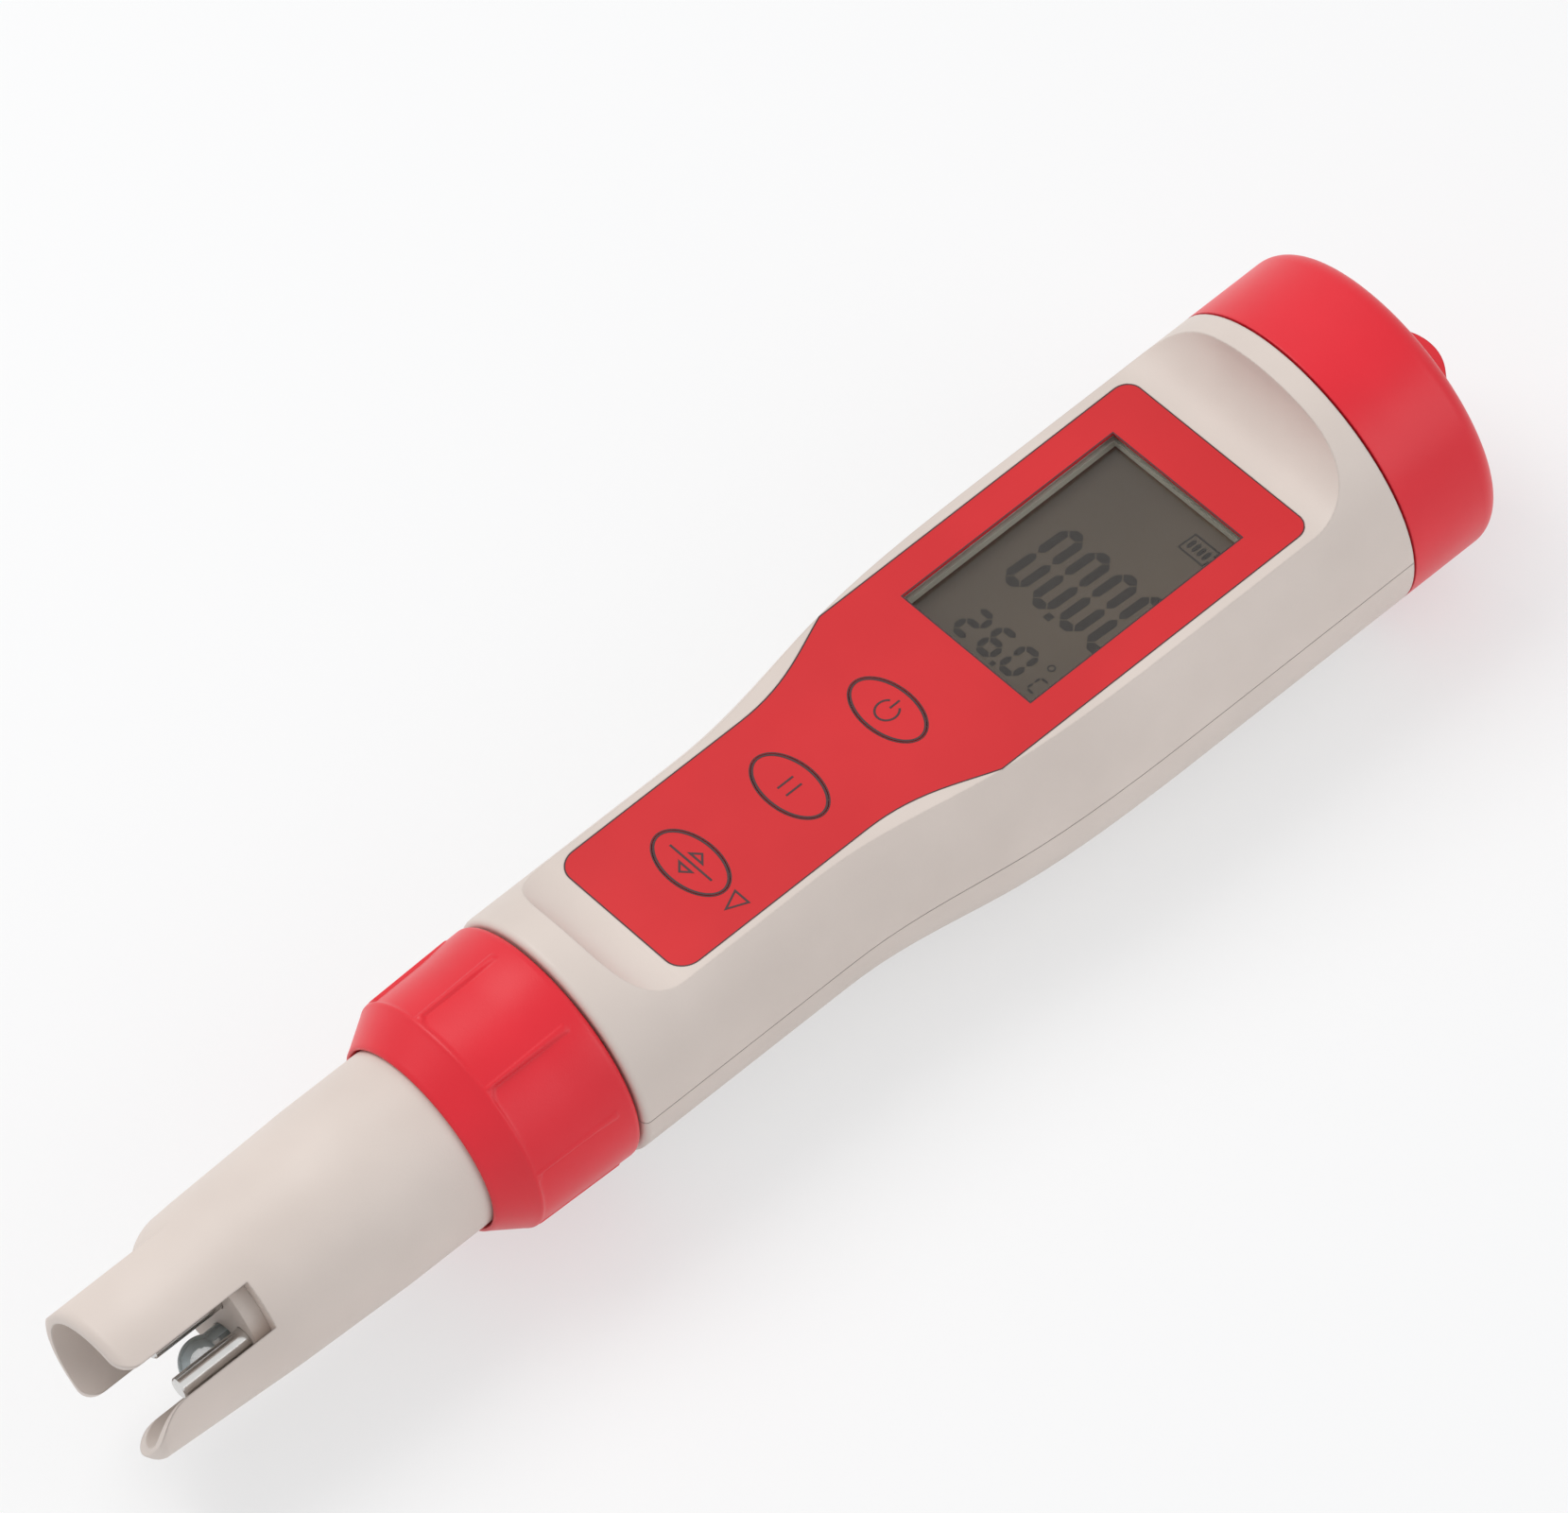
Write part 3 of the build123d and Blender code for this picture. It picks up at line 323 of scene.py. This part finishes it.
# %% [markdown]
# ## Metals, glass and rubber
#
# The conductivity pins are turned stainless steel, so fine turning marks run round
# them. Bands of noise squeezed along the pin give that. The pH electrode is a thin
# glass bulb, and the reference junction beside it is porous and chalky.

# %% Metals, glass and rubber
def metal(name, bright, dull, roughness, mark=0.25):
    """Metal with turning marks that run round the pen's long direction."""
    paint = Paint(name, Metallic=1.0)
    stretched = paint.node("ShaderNodeMapping", {}, paint.place, None, None, (1.0, 0.08, 0.08))
    marks = paint.node("ShaderNodeTexNoise", {}, Vector=stretched, Scale=1000.0 / mark, Detail=3.0)
    stain = paint.noise(2.5, 3.0)
    return paint.set(
        Base_Color=paint.blend(stain, bright, dull),
        Roughness=roughness + (marks - 0.5) * 0.14 + (stain - 0.5) * 0.06,
        Normal=paint.bump(marks, 0.002),
    )


steel = metal("turned_steel", ink(222, 221, 219), ink(196, 195, 194), 0.20)
plated = metal("plated_steel", ink(206, 207, 208), ink(178, 178, 180), 0.30, 0.5)
gilt = metal("gilt_contact", ink(226, 196, 128), ink(202, 170, 104), 0.28, 0.5)
silver = metal("silver_wire", ink(232, 230, 226), ink(204, 202, 198), 0.25, 0.4)

rubber = moulded("seal_rubber", ink(30, 30, 31), ink(20, 20, 21), 0.62, 0.006, 0.05)
pink_strip = moulded("soft_strip", ink(204, 150, 150), ink(176, 120, 124), 0.6, 0.004, 0.05)
chalk = moulded("porous_plug", ink(232, 228, 218), ink(212, 206, 192), 0.75, 0.02, 0.05, 0.1)
cable = moulded("ribbon_cable", ink(176, 178, 180), ink(150, 152, 156), 0.45, 0.01, 0.05)

bulb_glass = Paint("bulb_glass", Base_Color=ink(226, 236, 238), Roughness=0.03, IOR=1.5)
bulb_gloss = bulb_glass.node("ShaderNodeFresnel", {}, IOR=1.5)
bulb_glass.set(Alpha=bulb_gloss * 1.3 + bulb_glass.noise(2.0) * 0.05 + 0.10)
print("metals, rubber and glass")

# %% [markdown]
# ## Circuit board
#
# Solder mask is dark green lacquer over copper tracks, which show as slightly lighter
# raised lines. The tracks are stripes of position, broken up by blocks of noise.

# %% Circuit board
board = Paint("board_lacquer", Specular_IOR_Level=0.5)
track_place = abs(board.y * 0.8 + board.noise(6.0, 0.0) * 3.0)
track = 1.0 - abs(track_place.do("FRACT") - 0.5).ramp(0.10, 0.16)
copper = track * board.noise(5.0, 0.0).ramp(0.46, 0.50)
board.set(
    Base_Color=board.blend(copper * 0.7, ink(18, 74, 44), ink(52, 116, 66)),
    Roughness=0.30 + board.noise(1.5) * 0.12,
    Normal=board.bump(copper, 0.03),
)
print("circuit board finish")

# %% [markdown]
# ## Who wears what
#
# Each solid keeps its shape and only gets its finish here.

# %% Finish every solid
wardrobe = {
    grey_body: ("front_shell", "back_shell"),
    grey: ("probe_shroud",),
    inner_grey: ("battery_neck", "probe_neck", "probe_core"),
    red: ("battery_cap", "lock_ring"),
    label_film: ("front_label", "lower_key", "middle_key", "upper_key"),
    lens: ("display_lens",),
    well_grey: ("display_frame",),
    display: ("display_glass",),
    white: ("reflector", "switch_plunger_1", "switch_plunger_2", "switch_plunger_3"),
    pink_strip: ("contact_strips",),
    board: ("circuit_board", "probe_board"),
    black: ("microcontroller", "amplifier_chip", "probe_socket", "probe_plug", "battery_tube",
            "key_switch_1", "key_switch_2", "key_switch_3"),
    plated: ("crystal", "board_screws", "button_cell_1", "button_cell_2", "button_cell_3",
             "button_cell_4", "contact_spring"),
    gilt: ("base_contact", "terminal_strip", "contact_disc", "contact_pins", "sensor_leads"),
    rubber: ("cap_seal", "plug_seal", "sealing_washer"),
    cable: ("ribbon_cable",),
    bulb_glass: ("glass_electrode",),
    silver: ("silver_wire",),
    steel: ("steel_pin_1", "steel_pin_2", "thermometer"),
    chalk: ("reference_junction",),
}
for paint, names in wardrobe.items():
    for name in names:
        for place in solids[name].material_slots:
            place.material = paint.material
dressed = [name for names in wardrobe.values() for name in names]
print("dressed:", len(dressed), "left plain:", sorted(set(solids) - set(dressed)))

# %% [markdown]
# ## Making pieces from numbers
#
# New pieces are built as meshes from lists of points. Every piece rides on one of the
# pen's bodies, so that it goes along when a key is pressed or the cap turns.

# %% Mesh helper
def make_piece(name, points, faces, paint, body, smooth=False):
    mesh = bpy.data.meshes.new(name)
    mesh.from_pydata(points, [], faces)
    mesh.validate()
    mesh.update()
    mesh.polygons.foreach_set("use_smooth", [smooth] * len(mesh.polygons))
    piece = bpy.data.objects.new(name, mesh)
    bpy.context.scene.collection.objects.link(piece)
    mesh.materials.append(paint.material)
    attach(piece, body)
    return piece


def flat_plate(outline, bottom, top, points, faces):
    """Adds a thin plate with this outline, in millimetres, to points and faces."""
    first = len(points)
    count = len(outline)
    points.extend((x * MM, y * MM, bottom * MM) for x, y in outline)
    points.extend((x * MM, y * MM, top * MM) for x, y in outline)
    faces.append([first + i for i in reversed(range(count))])
    faces.append([first + count + i for i in range(count)])
    for i in range(count):
        j = (i + 1) % count
        faces.append([first + i, first + j, first + count + j, first + count + i])


def flat_loop(path, width, bottom, top, points, faces, closed=True):
    """Adds a line of this width along a path, as a thin closed band."""
    count = len(path)
    sides = []
    for i, (x, y) in enumerate(path):
        if closed:
            back, ahead = path[i - 1], path[(i + 1) % count]
        else:
            back, ahead = path[max(i - 1, 0)], path[min(i + 1, count - 1)]
        into = Vector((x - back[0], y - back[1]))
        out = Vector((ahead[0] - x, ahead[1] - y))
        into = (into if into.length else out).normalized()
        out = (out if out.length else into).normalized()
        along = (into + out).normalized()
        reach = width / 2 / max(along.dot(out), 0.3)
        across = Vector((-along.y, along.x)) * reach
        sides.append(((x + across.x, y + across.y), (x - across.x, y - across.y)))
    first = len(points)
    for left, right in sides:
        for height in (bottom, top):
            points.append((left[0] * MM, left[1] * MM, height * MM))
            points.append((right[0] * MM, right[1] * MM, height * MM))
    steps = count if closed else count - 1
    for i in range(steps):
        a = first + 4 * i
        b = first + 4 * ((i + 1) % count)
        faces.append([a + 2, b + 2, b + 3, a + 3][::-1])
        faces.append([a, a + 1, b + 1, b][::-1])
        faces.append([a, b, b + 2, a + 2][::-1])
        faces.append([a + 1, a + 3, b + 3, b + 1][::-1])
    if not closed:
        last = first + 4 * (count - 1)
        faces.append([first, first + 2, first + 3, first + 1][::-1])
        faces.append([last, last + 1, last + 3, last + 2][::-1])


def oval_path(centre, length, width, count=72):
    turns = [2 * pi * i / count for i in range(count)]
    return [(centre + length / 2 * cos(t), width / 2 * sin(t)) for t in turns]


print("mesh helpers ready")

# %% [markdown]
# ## Print on the label and the keys
#
# Each key is an oval of the label's film, outlined by a dark printed ring that laps
# over its edge. The ring is therefore two rings: an inner one that sinks with the key
# and an outer one that stays. Inside are plain signs that any instrument has. Print is
# only a few hundredths of a millimetre thick, and thin closed bands stay sharp at any
# zoom, which a picture would not.

# %% Key outlines and signs
print_thickness = 0.02
outline_outer = (6.3, 11.2)
outline_inner = (5.3, 10.2)
key_size = (5.8, 10.6)
key_gap = 0.12
sign_line = 0.26
arrow_base = 1.0
arrow_rise = 0.85
arrow_clear = 0.75
divider_half = 3.4
pause_half = 1.1
pause_apart = 0.7
power_radius = 1.35
power_gap = 35


def band_between(inner, outer, station):
    """Middle path and width of the oval band between two oval sizes."""
    middle = [(a + b) / 2 for a, b in zip(inner, outer)]
    return oval_path(station, *middle), (outer[0] - inner[0]) / 2


def key_sign(number, station):
    """Lines of a key's sign, as (points, closed) pairs."""
    if number == 0:
        up, down = ([(station + side * arrow_clear, -arrow_base),
                     (station + side * arrow_clear, arrow_base),
                     (station + side * (arrow_clear + arrow_rise), 0.0)] for side in (1, -1))
        line = [(station, -divider_half), (station, divider_half)]
        return [(up, True), (down, True), (line, False)]
    if number == 1:
        return [([(station - pause_half, side), (station + pause_half, side)], False)
                for side in (-pause_apart, pause_apart)]
    arc = [radians(power_gap + (360 - 2 * power_gap) * i / 28) for i in range(29)]
    circle = [(station - 0.1 + power_radius * cos(t), power_radius * sin(t)) for t in arc]
    return [(circle, False), ([(station + 0.3, 0.0), (station + 1.7, 0.0)], False)]


for number, station in enumerate(key_stations):
    body = ("lower_key_body", "middle_key_body", "upper_key_body")[number]
    points, faces = [], []
    path, width = band_between(outline_inner, key_size, station)
    flat_loop(path, width, label_top, label_top + print_thickness, points, faces)
    for path, closed in key_sign(number, station):
        flat_loop(path, sign_line, label_top, label_top + print_thickness, points, faces, closed)
    make_piece(f"key_print_{number + 1}", points, faces, print_ink, body)

points, faces = [], []
for station in key_stations:
    hole = [size + 2 * key_gap for size in key_size]
    path, width = band_between(hole, outline_outer, station)
    flat_loop(path, width, label_top, label_top + print_thickness, points, faces)
small_arrow = [(-9.95, -6.2), (-9.95, -8.4), (-12.2, -7.3)]
small_arrow_line = 0.25
flat_loop(small_arrow, small_arrow_line, label_top, label_top + print_thickness, points, faces)
make_piece("label_print", points, faces, print_ink, "housing")
print("printed keys:", len(key_stations))

# %% [markdown]
# The film is printed dark right up to its cut edge, which draws a thin line round the
# label and round the display's opening. The line has to follow the cut exactly, so its
# path is taken from the solid: the edges where the flat top face meets an upright side.

# %% Dark line along the film's edge
edge_line = 0.16
edge_sink = 0.01


def top_loops(solid):
    """Closed paths of the edges round a solid's flat top, in millimetres."""
    mesh = solid.data
    place = solid.matrix_world
    top = max((place @ v.co).z for v in mesh.vertices) - 0.00001
    edges = set()
    spot = {}
    for face in mesh.polygons:
        corners = [place @ mesh.vertices[i].co for i in face.vertices]
        if min(c.z for c in corners) < top:
            continue
        keys = [(round(c.x * 1e5), round(c.y * 1e5)) for c in corners]
        spot.update(zip(keys, corners))
        edges.update(zip(keys, keys[1:] + keys[:1]))
    rim = {a: b for a, b in edges if (b, a) not in edges}
    loops = []
    while rim:
        start, here = rim.popitem()
        loop = [start]
        while here != start and here in rim:
            loop.append(here)
            here = rim.pop(here)
        loops.append([(spot[k].x / MM, spot[k].y / MM) for k in loop])
    return loops


points, faces = [], []
film_loops = sorted(top_loops(solids["front_label"]), key=len)
for loop in film_loops:
    reach_x = max(x for x, y in loop) - min(x for x, y in loop)
    if reach_x > outline_outer[0]:
        flat_loop(loop, edge_line, label_top - edge_sink, label_top + edge_sink, points, faces)
make_piece("label_edge", points, faces, print_ink, "housing")
print("film loops:", [len(loop) for loop in film_loops])

# %% [markdown]
# ## The display's segments
#
# Seven bars with slanted ends make any digit. Each bar is a six-sided plate. Digits
# stand upright towards the battery cap and read from left to right as seen from the
# keys, so a digit's across direction is minus Y and its up direction is plus X.

# %% Seven-segment digits
SEGMENTS = {"0": "abcdef", "2": "abged", "6": "afgedc", "C": "afed"}
segment_gap = 0.10
segment_height = 0.03
digit_lean = 0.05


def bar_between(start, end, width):
    """Six-sided bar from start to end with pointed ends."""
    along = Vector(end) - Vector(start)
    run = along.normalized()
    side = Vector((-run.y, run.x)) * width / 2
    first = Vector(start) + run * segment_gap
    last = Vector(end) - run * segment_gap
    slope = run * width / 2
    return [first, first + slope - side, last - slope - side, last, last - slope + side,
            first + slope + side]


def digit_bars(sign, left, foot, wide, tall, width):
    """Outlines of a digit's bars, across and up on the display."""
    right, middle, head = left + wide, foot + tall / 2, foot + tall
    places = {
        "a": ((left, head), (right, head)), "b": ((right, middle), (right, head)),
        "c": ((right, foot), (right, middle)), "d": ((left, foot), (right, foot)),
        "e": ((left, foot), (left, middle)), "f": ((left, middle), (left, head)),
        "g": ((left, middle), (right, middle)),
    }
    return [bar_between(*places[letter], width) for letter in SEGMENTS[sign]]


def on_display(outline):
    """From across and up on the display to X and Y on the pen."""
    start = view_centre - view_length / 2
    return [(start + up, view_width / 2 - across - digit_lean * up) for across, up in outline]


def digit_row(signs, left, pitch, **form):
    """Bars of a row of digits that starts at left."""
    bars = []
    for number, sign in enumerate(signs):
        bars += digit_bars(sign, left + pitch * number, **form)
    return bars


def square_dot(across, up, size):
    half = size / 2
    corners = ((-half, -half), (half, -half), (half, half), (-half, half))
    return [Vector((across + a, up + b)) for a, b in corners]


outlines = digit_row("0000", 4.0, 4.35, foot=10.5, wide=2.3, tall=8.8, width=1.15)
outlines += digit_row("260", 5.6, 3.7, foot=2.0, wide=2.1, tall=3.7, width=0.80)
outlines += digit_row("C", 17.4, 0.0, foot=2.0, wide=1.2, tall=2.0, width=0.30)
outlines += [square_dot(11.6, 10.0, 0.9), square_dot(12.3, 1.7, 0.6)]
outlines += [bar_between((14.6 + 0.8 * i, 26.3), (14.6 + 0.8 * i, 27.9), 0.55) for i in range(4)]
print("display bars:", len(outlines))

# %% Battery sign, degree ring and the finished display
battery_box = [(13.9, 25.9), (17.7, 25.9), (17.7, 26.6), (18.2, 26.6), (18.2, 27.6),
               (17.7, 27.6), (17.7, 28.3), (13.9, 28.3)]
degree_across, degree_up, degree_radius = 17.2, 5.6, 0.4
degree = [(degree_across + degree_radius * cos(2 * pi * i / 16),
           degree_up + degree_radius * sin(2 * pi * i / 16)) for i in range(16)]
segment_top = glass_top + segment_height
points, faces = [], []
for outline in outlines:
    flat_plate(on_display(outline), glass_top, segment_top, points, faces)
for outline, width in ((battery_box, 0.22), (degree, 0.18)):
    flat_loop(on_display(outline), width, glass_top, segment_top, points, faces)
segments = make_piece("display_segments", points, faces, segment_ink, "housing")
print("display faces:", len(segments.data.polygons))

# %% [markdown]
# ## Lock ring
#
# The ring is gripped to change the probe, so it has eight shallow panels. Each starts
# as a sharp step beside a thin rib and rises again towards the next rib, like a saw
# seen end on. The ribs widen towards the body and end square, and a soft step follows
# the edge of the cone. A sculpted mesh could do it, but a turned profile whose radius
# is lowered by a formula keeps all eight panels alike and the bore exact.

# %% Lock ring with sawtooth panels
ring_back, ring_cone_edge, ring_front = -32.4, -46.1, -50.4
ring_radius, ring_edge_radius, ring_nose_radius = 14.9, 14.6, 11.95
ring_bore, ring_opening, ring_shoulder = 13.05, 11.55, -44.2
rib_count = 8
rib_turn = -radians(33.6)
rib_start, rib_end = -45.9, -34.9
panel_depth = 0.30
rib_rise = 0.11
rib_front_width, rib_back_width = 0.34, 0.85


def smooth(value, start, end):
    t = min(max((value - start) / (end - start), 0.0), 1.0)
    return t * t * (3 - 2 * t)


def ring_relief(along, turn):
    """Height of the ring's surface over its plain turned form."""
    spacing = 2 * pi / rib_count
    behind = (rib_turn - turn) % spacing
    arc = min(behind, spacing - behind) * ring_edge_radius
    ahead = behind * ring_edge_radius
    corner = 1.3 * (1 - smooth(along, ring_cone_edge, ring_cone_edge + 1.3))
    depth = panel_depth * (1 - behind / spacing) ** 1.2
    depth *= smooth(ahead, corner + 0.1, corner + 0.45)
    depth *= smooth(along, ring_cone_edge + 0.05, ring_cone_edge + 0.55)
    depth *= 1 - smooth(along, rib_end - 4.5, rib_end + 1.2)
    share = (along - rib_start) / (rib_end - rib_start)
    half = (rib_front_width + (rib_back_width - rib_front_width) * share) / 2
    rib = rib_rise * (1 - smooth(arc, half - 0.05, half + 0.14))
    rib *= smooth(along, rib_start - 0.2, rib_start + 0.5)
    rib *= 1 - smooth(along, rib_end - 0.1, rib_end + 0.1)
    return rib - depth


def ring_profile():
    """Closed half section of the ring as (along, radius, relief share) points."""
    rounding = 0.8
    profile = [(ring_back, ring_bore, 0.0), (ring_back, ring_radius - rounding, 0.0)]
    for i in range(1, 7):
        t = pi / 2 * i / 6
        profile.append((ring_back - rounding * (1 - cos(t)), ring_radius - rounding * (1 - sin(t)), 0.0))
    steps = 64
    for i in range(1, steps):
        t = i / steps
        along = ring_back - rounding + (ring_cone_edge + 0.3 - ring_back + rounding) * t
        profile.append((along, ring_radius + (ring_edge_radius - ring_radius) * t, 1.0))
    for i in range(13):
        t = i / 12
        along = ring_cone_edge + 0.3 - 0.6 * t
        bow = 0.10 * (1 - (2 * t - 1) ** 2)
        fall = (ring_edge_radius - ring_nose_radius) / (ring_cone_edge - ring_front)
        cone = ring_edge_radius - fall * 0.3
        profile.append((along, ring_edge_radius + (cone - ring_edge_radius) * t + bow, 1.0 - t))
    for i in range(1, 11):
        t = i / 11
        start = profile[-1] if i == 1 else start
        profile.append((start[0] + (ring_front + 0.25 - start[0]) * t,
                        start[1] + (ring_nose_radius + 0.1 - start[1]) * t, 0.0))
    profile += [(ring_front + 0.08, ring_nose_radius + 0.02, 0.0)]
    profile += [(ring_front, ring_nose_radius - 0.12, 0.0)]
    profile += [(ring_front, ring_opening + 0.12, 0.0), (ring_front + 0.12, ring_opening, 0.0)]
    profile += [(ring_shoulder, ring_opening, 0.0), (ring_shoulder, ring_bore, 0.0)]
    return profile


def sector_turns():
    """Angles round the ring, close together beside each rib."""
    spacing = 2 * pi / rib_count
    near = [-1.2, -0.9, -0.72, -0.6, -0.5, -0.4, -0.3, -0.2, -0.1, 0.0, 0.1, 0.2, 0.3, 0.4, 0.5,
            0.6, 0.72, 0.9, 1.2]
    near = [v / ring_edge_radius for v in near]
    rest = 22
    gap = (spacing - near[-1] + near[0]) / (rest + 1)
    offsets = near + [near[-1] + gap * (i + 1) for i in range(rest)]
    return [rib_turn + spacing * k + v for k in range(rib_count) for v in offsets]


profile = ring_profile()
turns = sector_turns()
points, faces = [], []
for turn in turns:
    for along, radius, share in profile:
        relief = ring_relief(along, turn) * share if share else 0.0
        points.append(on_pen(along, radius + relief, turn))
rows = len(profile)
for i in range(len(turns)):
    a, b = i * rows, (i + 1) % len(turns) * rows
    for j in range(rows):
        k = (j + 1) % rows
        faces.append([a + j, a + k, b + k, b + j])
lock_ring = make_piece("grip_ring", points, faces, red, "ring", smooth=True)
sharp = lock_ring.data
sharp.set_sharp_from_angle(angle=radians(50))
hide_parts("lock_ring")
print("ring points:", len(points), "faces:", len(faces))

# %% [markdown]
# ## Floor and light
#
# The photograph is a catalogue cut-out on white, lit by large soft sources. A pale
# floor keeps the pen's shadow, and mixing in some plain white for the camera lets it
# run into the background. One broad lamp up and to the left gives the long highlights,
# a weaker one fills from the other side, and the sky lifts the rest.

# %% Floor
half_floor = 4.0
floor_brightness = 0.86
floor_white_share = 0.55

floor_mesh = bpy.data.meshes.new("studio_floor")
floor_corners = [(-half_floor, -half_floor, 0), (half_floor, -half_floor, 0),
                 (half_floor, half_floor, 0), (-half_floor, half_floor, 0)]
floor_mesh.from_pydata(floor_corners, [], [(0, 1, 2, 3)])
floor = bpy.data.objects.new("studio_floor", floor_mesh)
bpy.context.scene.collection.objects.link(floor)
floor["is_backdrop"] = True

floor_paint = Paint("studio_floor", Base_Color=(*[floor_brightness] * 3, 1.0), Roughness=0.9)
lit = Amount(floor_paint, floor_paint.shader.outputs[0])
plain_white = floor_paint.node("ShaderNodeEmission", {})
white_share = floor_paint.seen_straight() * floor_white_share
floor_look = floor_paint.node("ShaderNodeMixShader", {}, white_share, lit, plain_white)
floor_paint.feed(floor_paint.tree.nodes["Material Output"].inputs[0], floor_look)
floor_mesh.materials.append(floor_paint.material)
print("floor", 2 * half_floor, "m wide")

# %% Sky
sky_tint = (0.95, 0.97, 1.0, 1.0)
sky_strength = 0.62

world = bpy.data.worlds.new("studio_sky")
bpy.context.scene.world = world
world.use_nodes = True
sky = Wiring(world.node_tree)
background = sky.tree.nodes["Background"]
sky.feed(background.inputs[0], sky_tint)
sky.feed(background.inputs[1], sky_strength)
gathered = Amount(sky, background.outputs[0])
white_sky = sky.node("ShaderNodeBackground", {}, (1.0, 1.0, 1.0, 1.0), 1.0)
sky_look = sky.node("ShaderNodeMixShader", {}, sky.seen_straight(), gathered, white_sky)
sky.feed(sky.tree.nodes["World Output"].inputs[0], sky_look)
print("sky strength", sky_strength)

# %% [markdown]
# ## Camera
#
# The camera was found by fitting the turned edges of the pen in the photograph: a long
# lens a metre and a half away, looking down at the display at about 52 degrees, with
# the pen's tip leaning towards it. The three angles say how the pen's own axes stand in
# the picture, and the lamps are placed in the camera's own directions.

# %% Camera at the photograph's angle
picture_turn = radians(37.81)
tip_lean = radians(18.78)
roll = radians(33.59)
pen_point = Vector((-8.604, 17.292, 1500.0))
pen_point_station = -10.9
focal_pixels = 15000.0
photo_width = 1659.0
sensor = 36.0

forward = Vector((0.0, 0.0, 1.0))
slant = Vector((cos(picture_turn), -sin(picture_turn), 0.0))
pen_x = slant * cos(tip_lean) + forward * sin(tip_lean)
upright = -forward * cos(tip_lean) + slant * sin(tip_lean)
pen_z = upright * cos(roll) - forward.cross(slant) * sin(roll)
pen_y = pen_z.cross(pen_x)
axes = (pen_x, pen_y, pen_z)
eye = Vector([-axis.dot(pen_point) for axis in axes]) + Vector((pen_point_station, 0.0, axis_height))
right, down, ahead = (Vector([axis[i] for axis in axes]) for i in range(3))

camera = bpy.data.objects.new("camera", bpy.data.cameras.new("camera"))
bpy.context.scene.collection.objects.link(camera)
turned = Matrix((right, -down, -ahead)).transposed().to_4x4()
camera.matrix_world = Matrix.Translation(eye * MM) @ turned
camera.data.sensor_width = sensor
camera.data.lens = focal_pixels / photo_width * sensor
camera.data.clip_end = 20.0
bpy.context.scene.camera = camera
print("camera at", [round(v) for v in eye], "mm, lens", round(camera.data.lens), "mm")

# %% Lamps
pen_middle = Vector((0.0, 0.0, axis_height)) * MM


def lamp(name, aside, above, back, size, watts, tint=(1.0, 1.0, 1.0)):
    """A square soft lamp, placed to the camera's right, above it and towards it."""
    data = bpy.data.lights.new(name, "AREA")
    data.size = size
    data.energy = watts
    data.color = tint
    made = bpy.data.objects.new(name, data)
    bpy.context.scene.collection.objects.link(made)
    made.location = pen_middle + right * aside - down * above - ahead * back
    made.rotation_mode = "QUATERNION"
    made.rotation_quaternion = (pen_middle - made.location).to_track_quat("-Z", "Y")
    return made


lamps = [
    lamp("key_lamp", -0.45, 0.55, 0.45, 0.55, 3.6, (1.0, 0.985, 0.965)),
    lamp("fill_lamp", 0.65, 0.10, 0.45, 0.50, 1.1, (0.96, 0.98, 1.0)),
]
bpy.context.scene.view_settings.view_transform = "Standard"
print("lamps:", [(item.name, item.data.energy) for item in lamps])

# %% [markdown]
# ## The size against the bare box
#
# How far the dressed pen reaches beyond its bare box is printed for each corner. The
# dressed pen may not grow out of its bare box.

# %% Write both boxes
dressed_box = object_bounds()
for low_or_high, bare, full in zip(("low", "high"), cad_box, dressed_box):
    print(low_or_high, [round(1000 * (f - b), 3) for b, f in zip(bare, full)], "mm beyond the bare box")
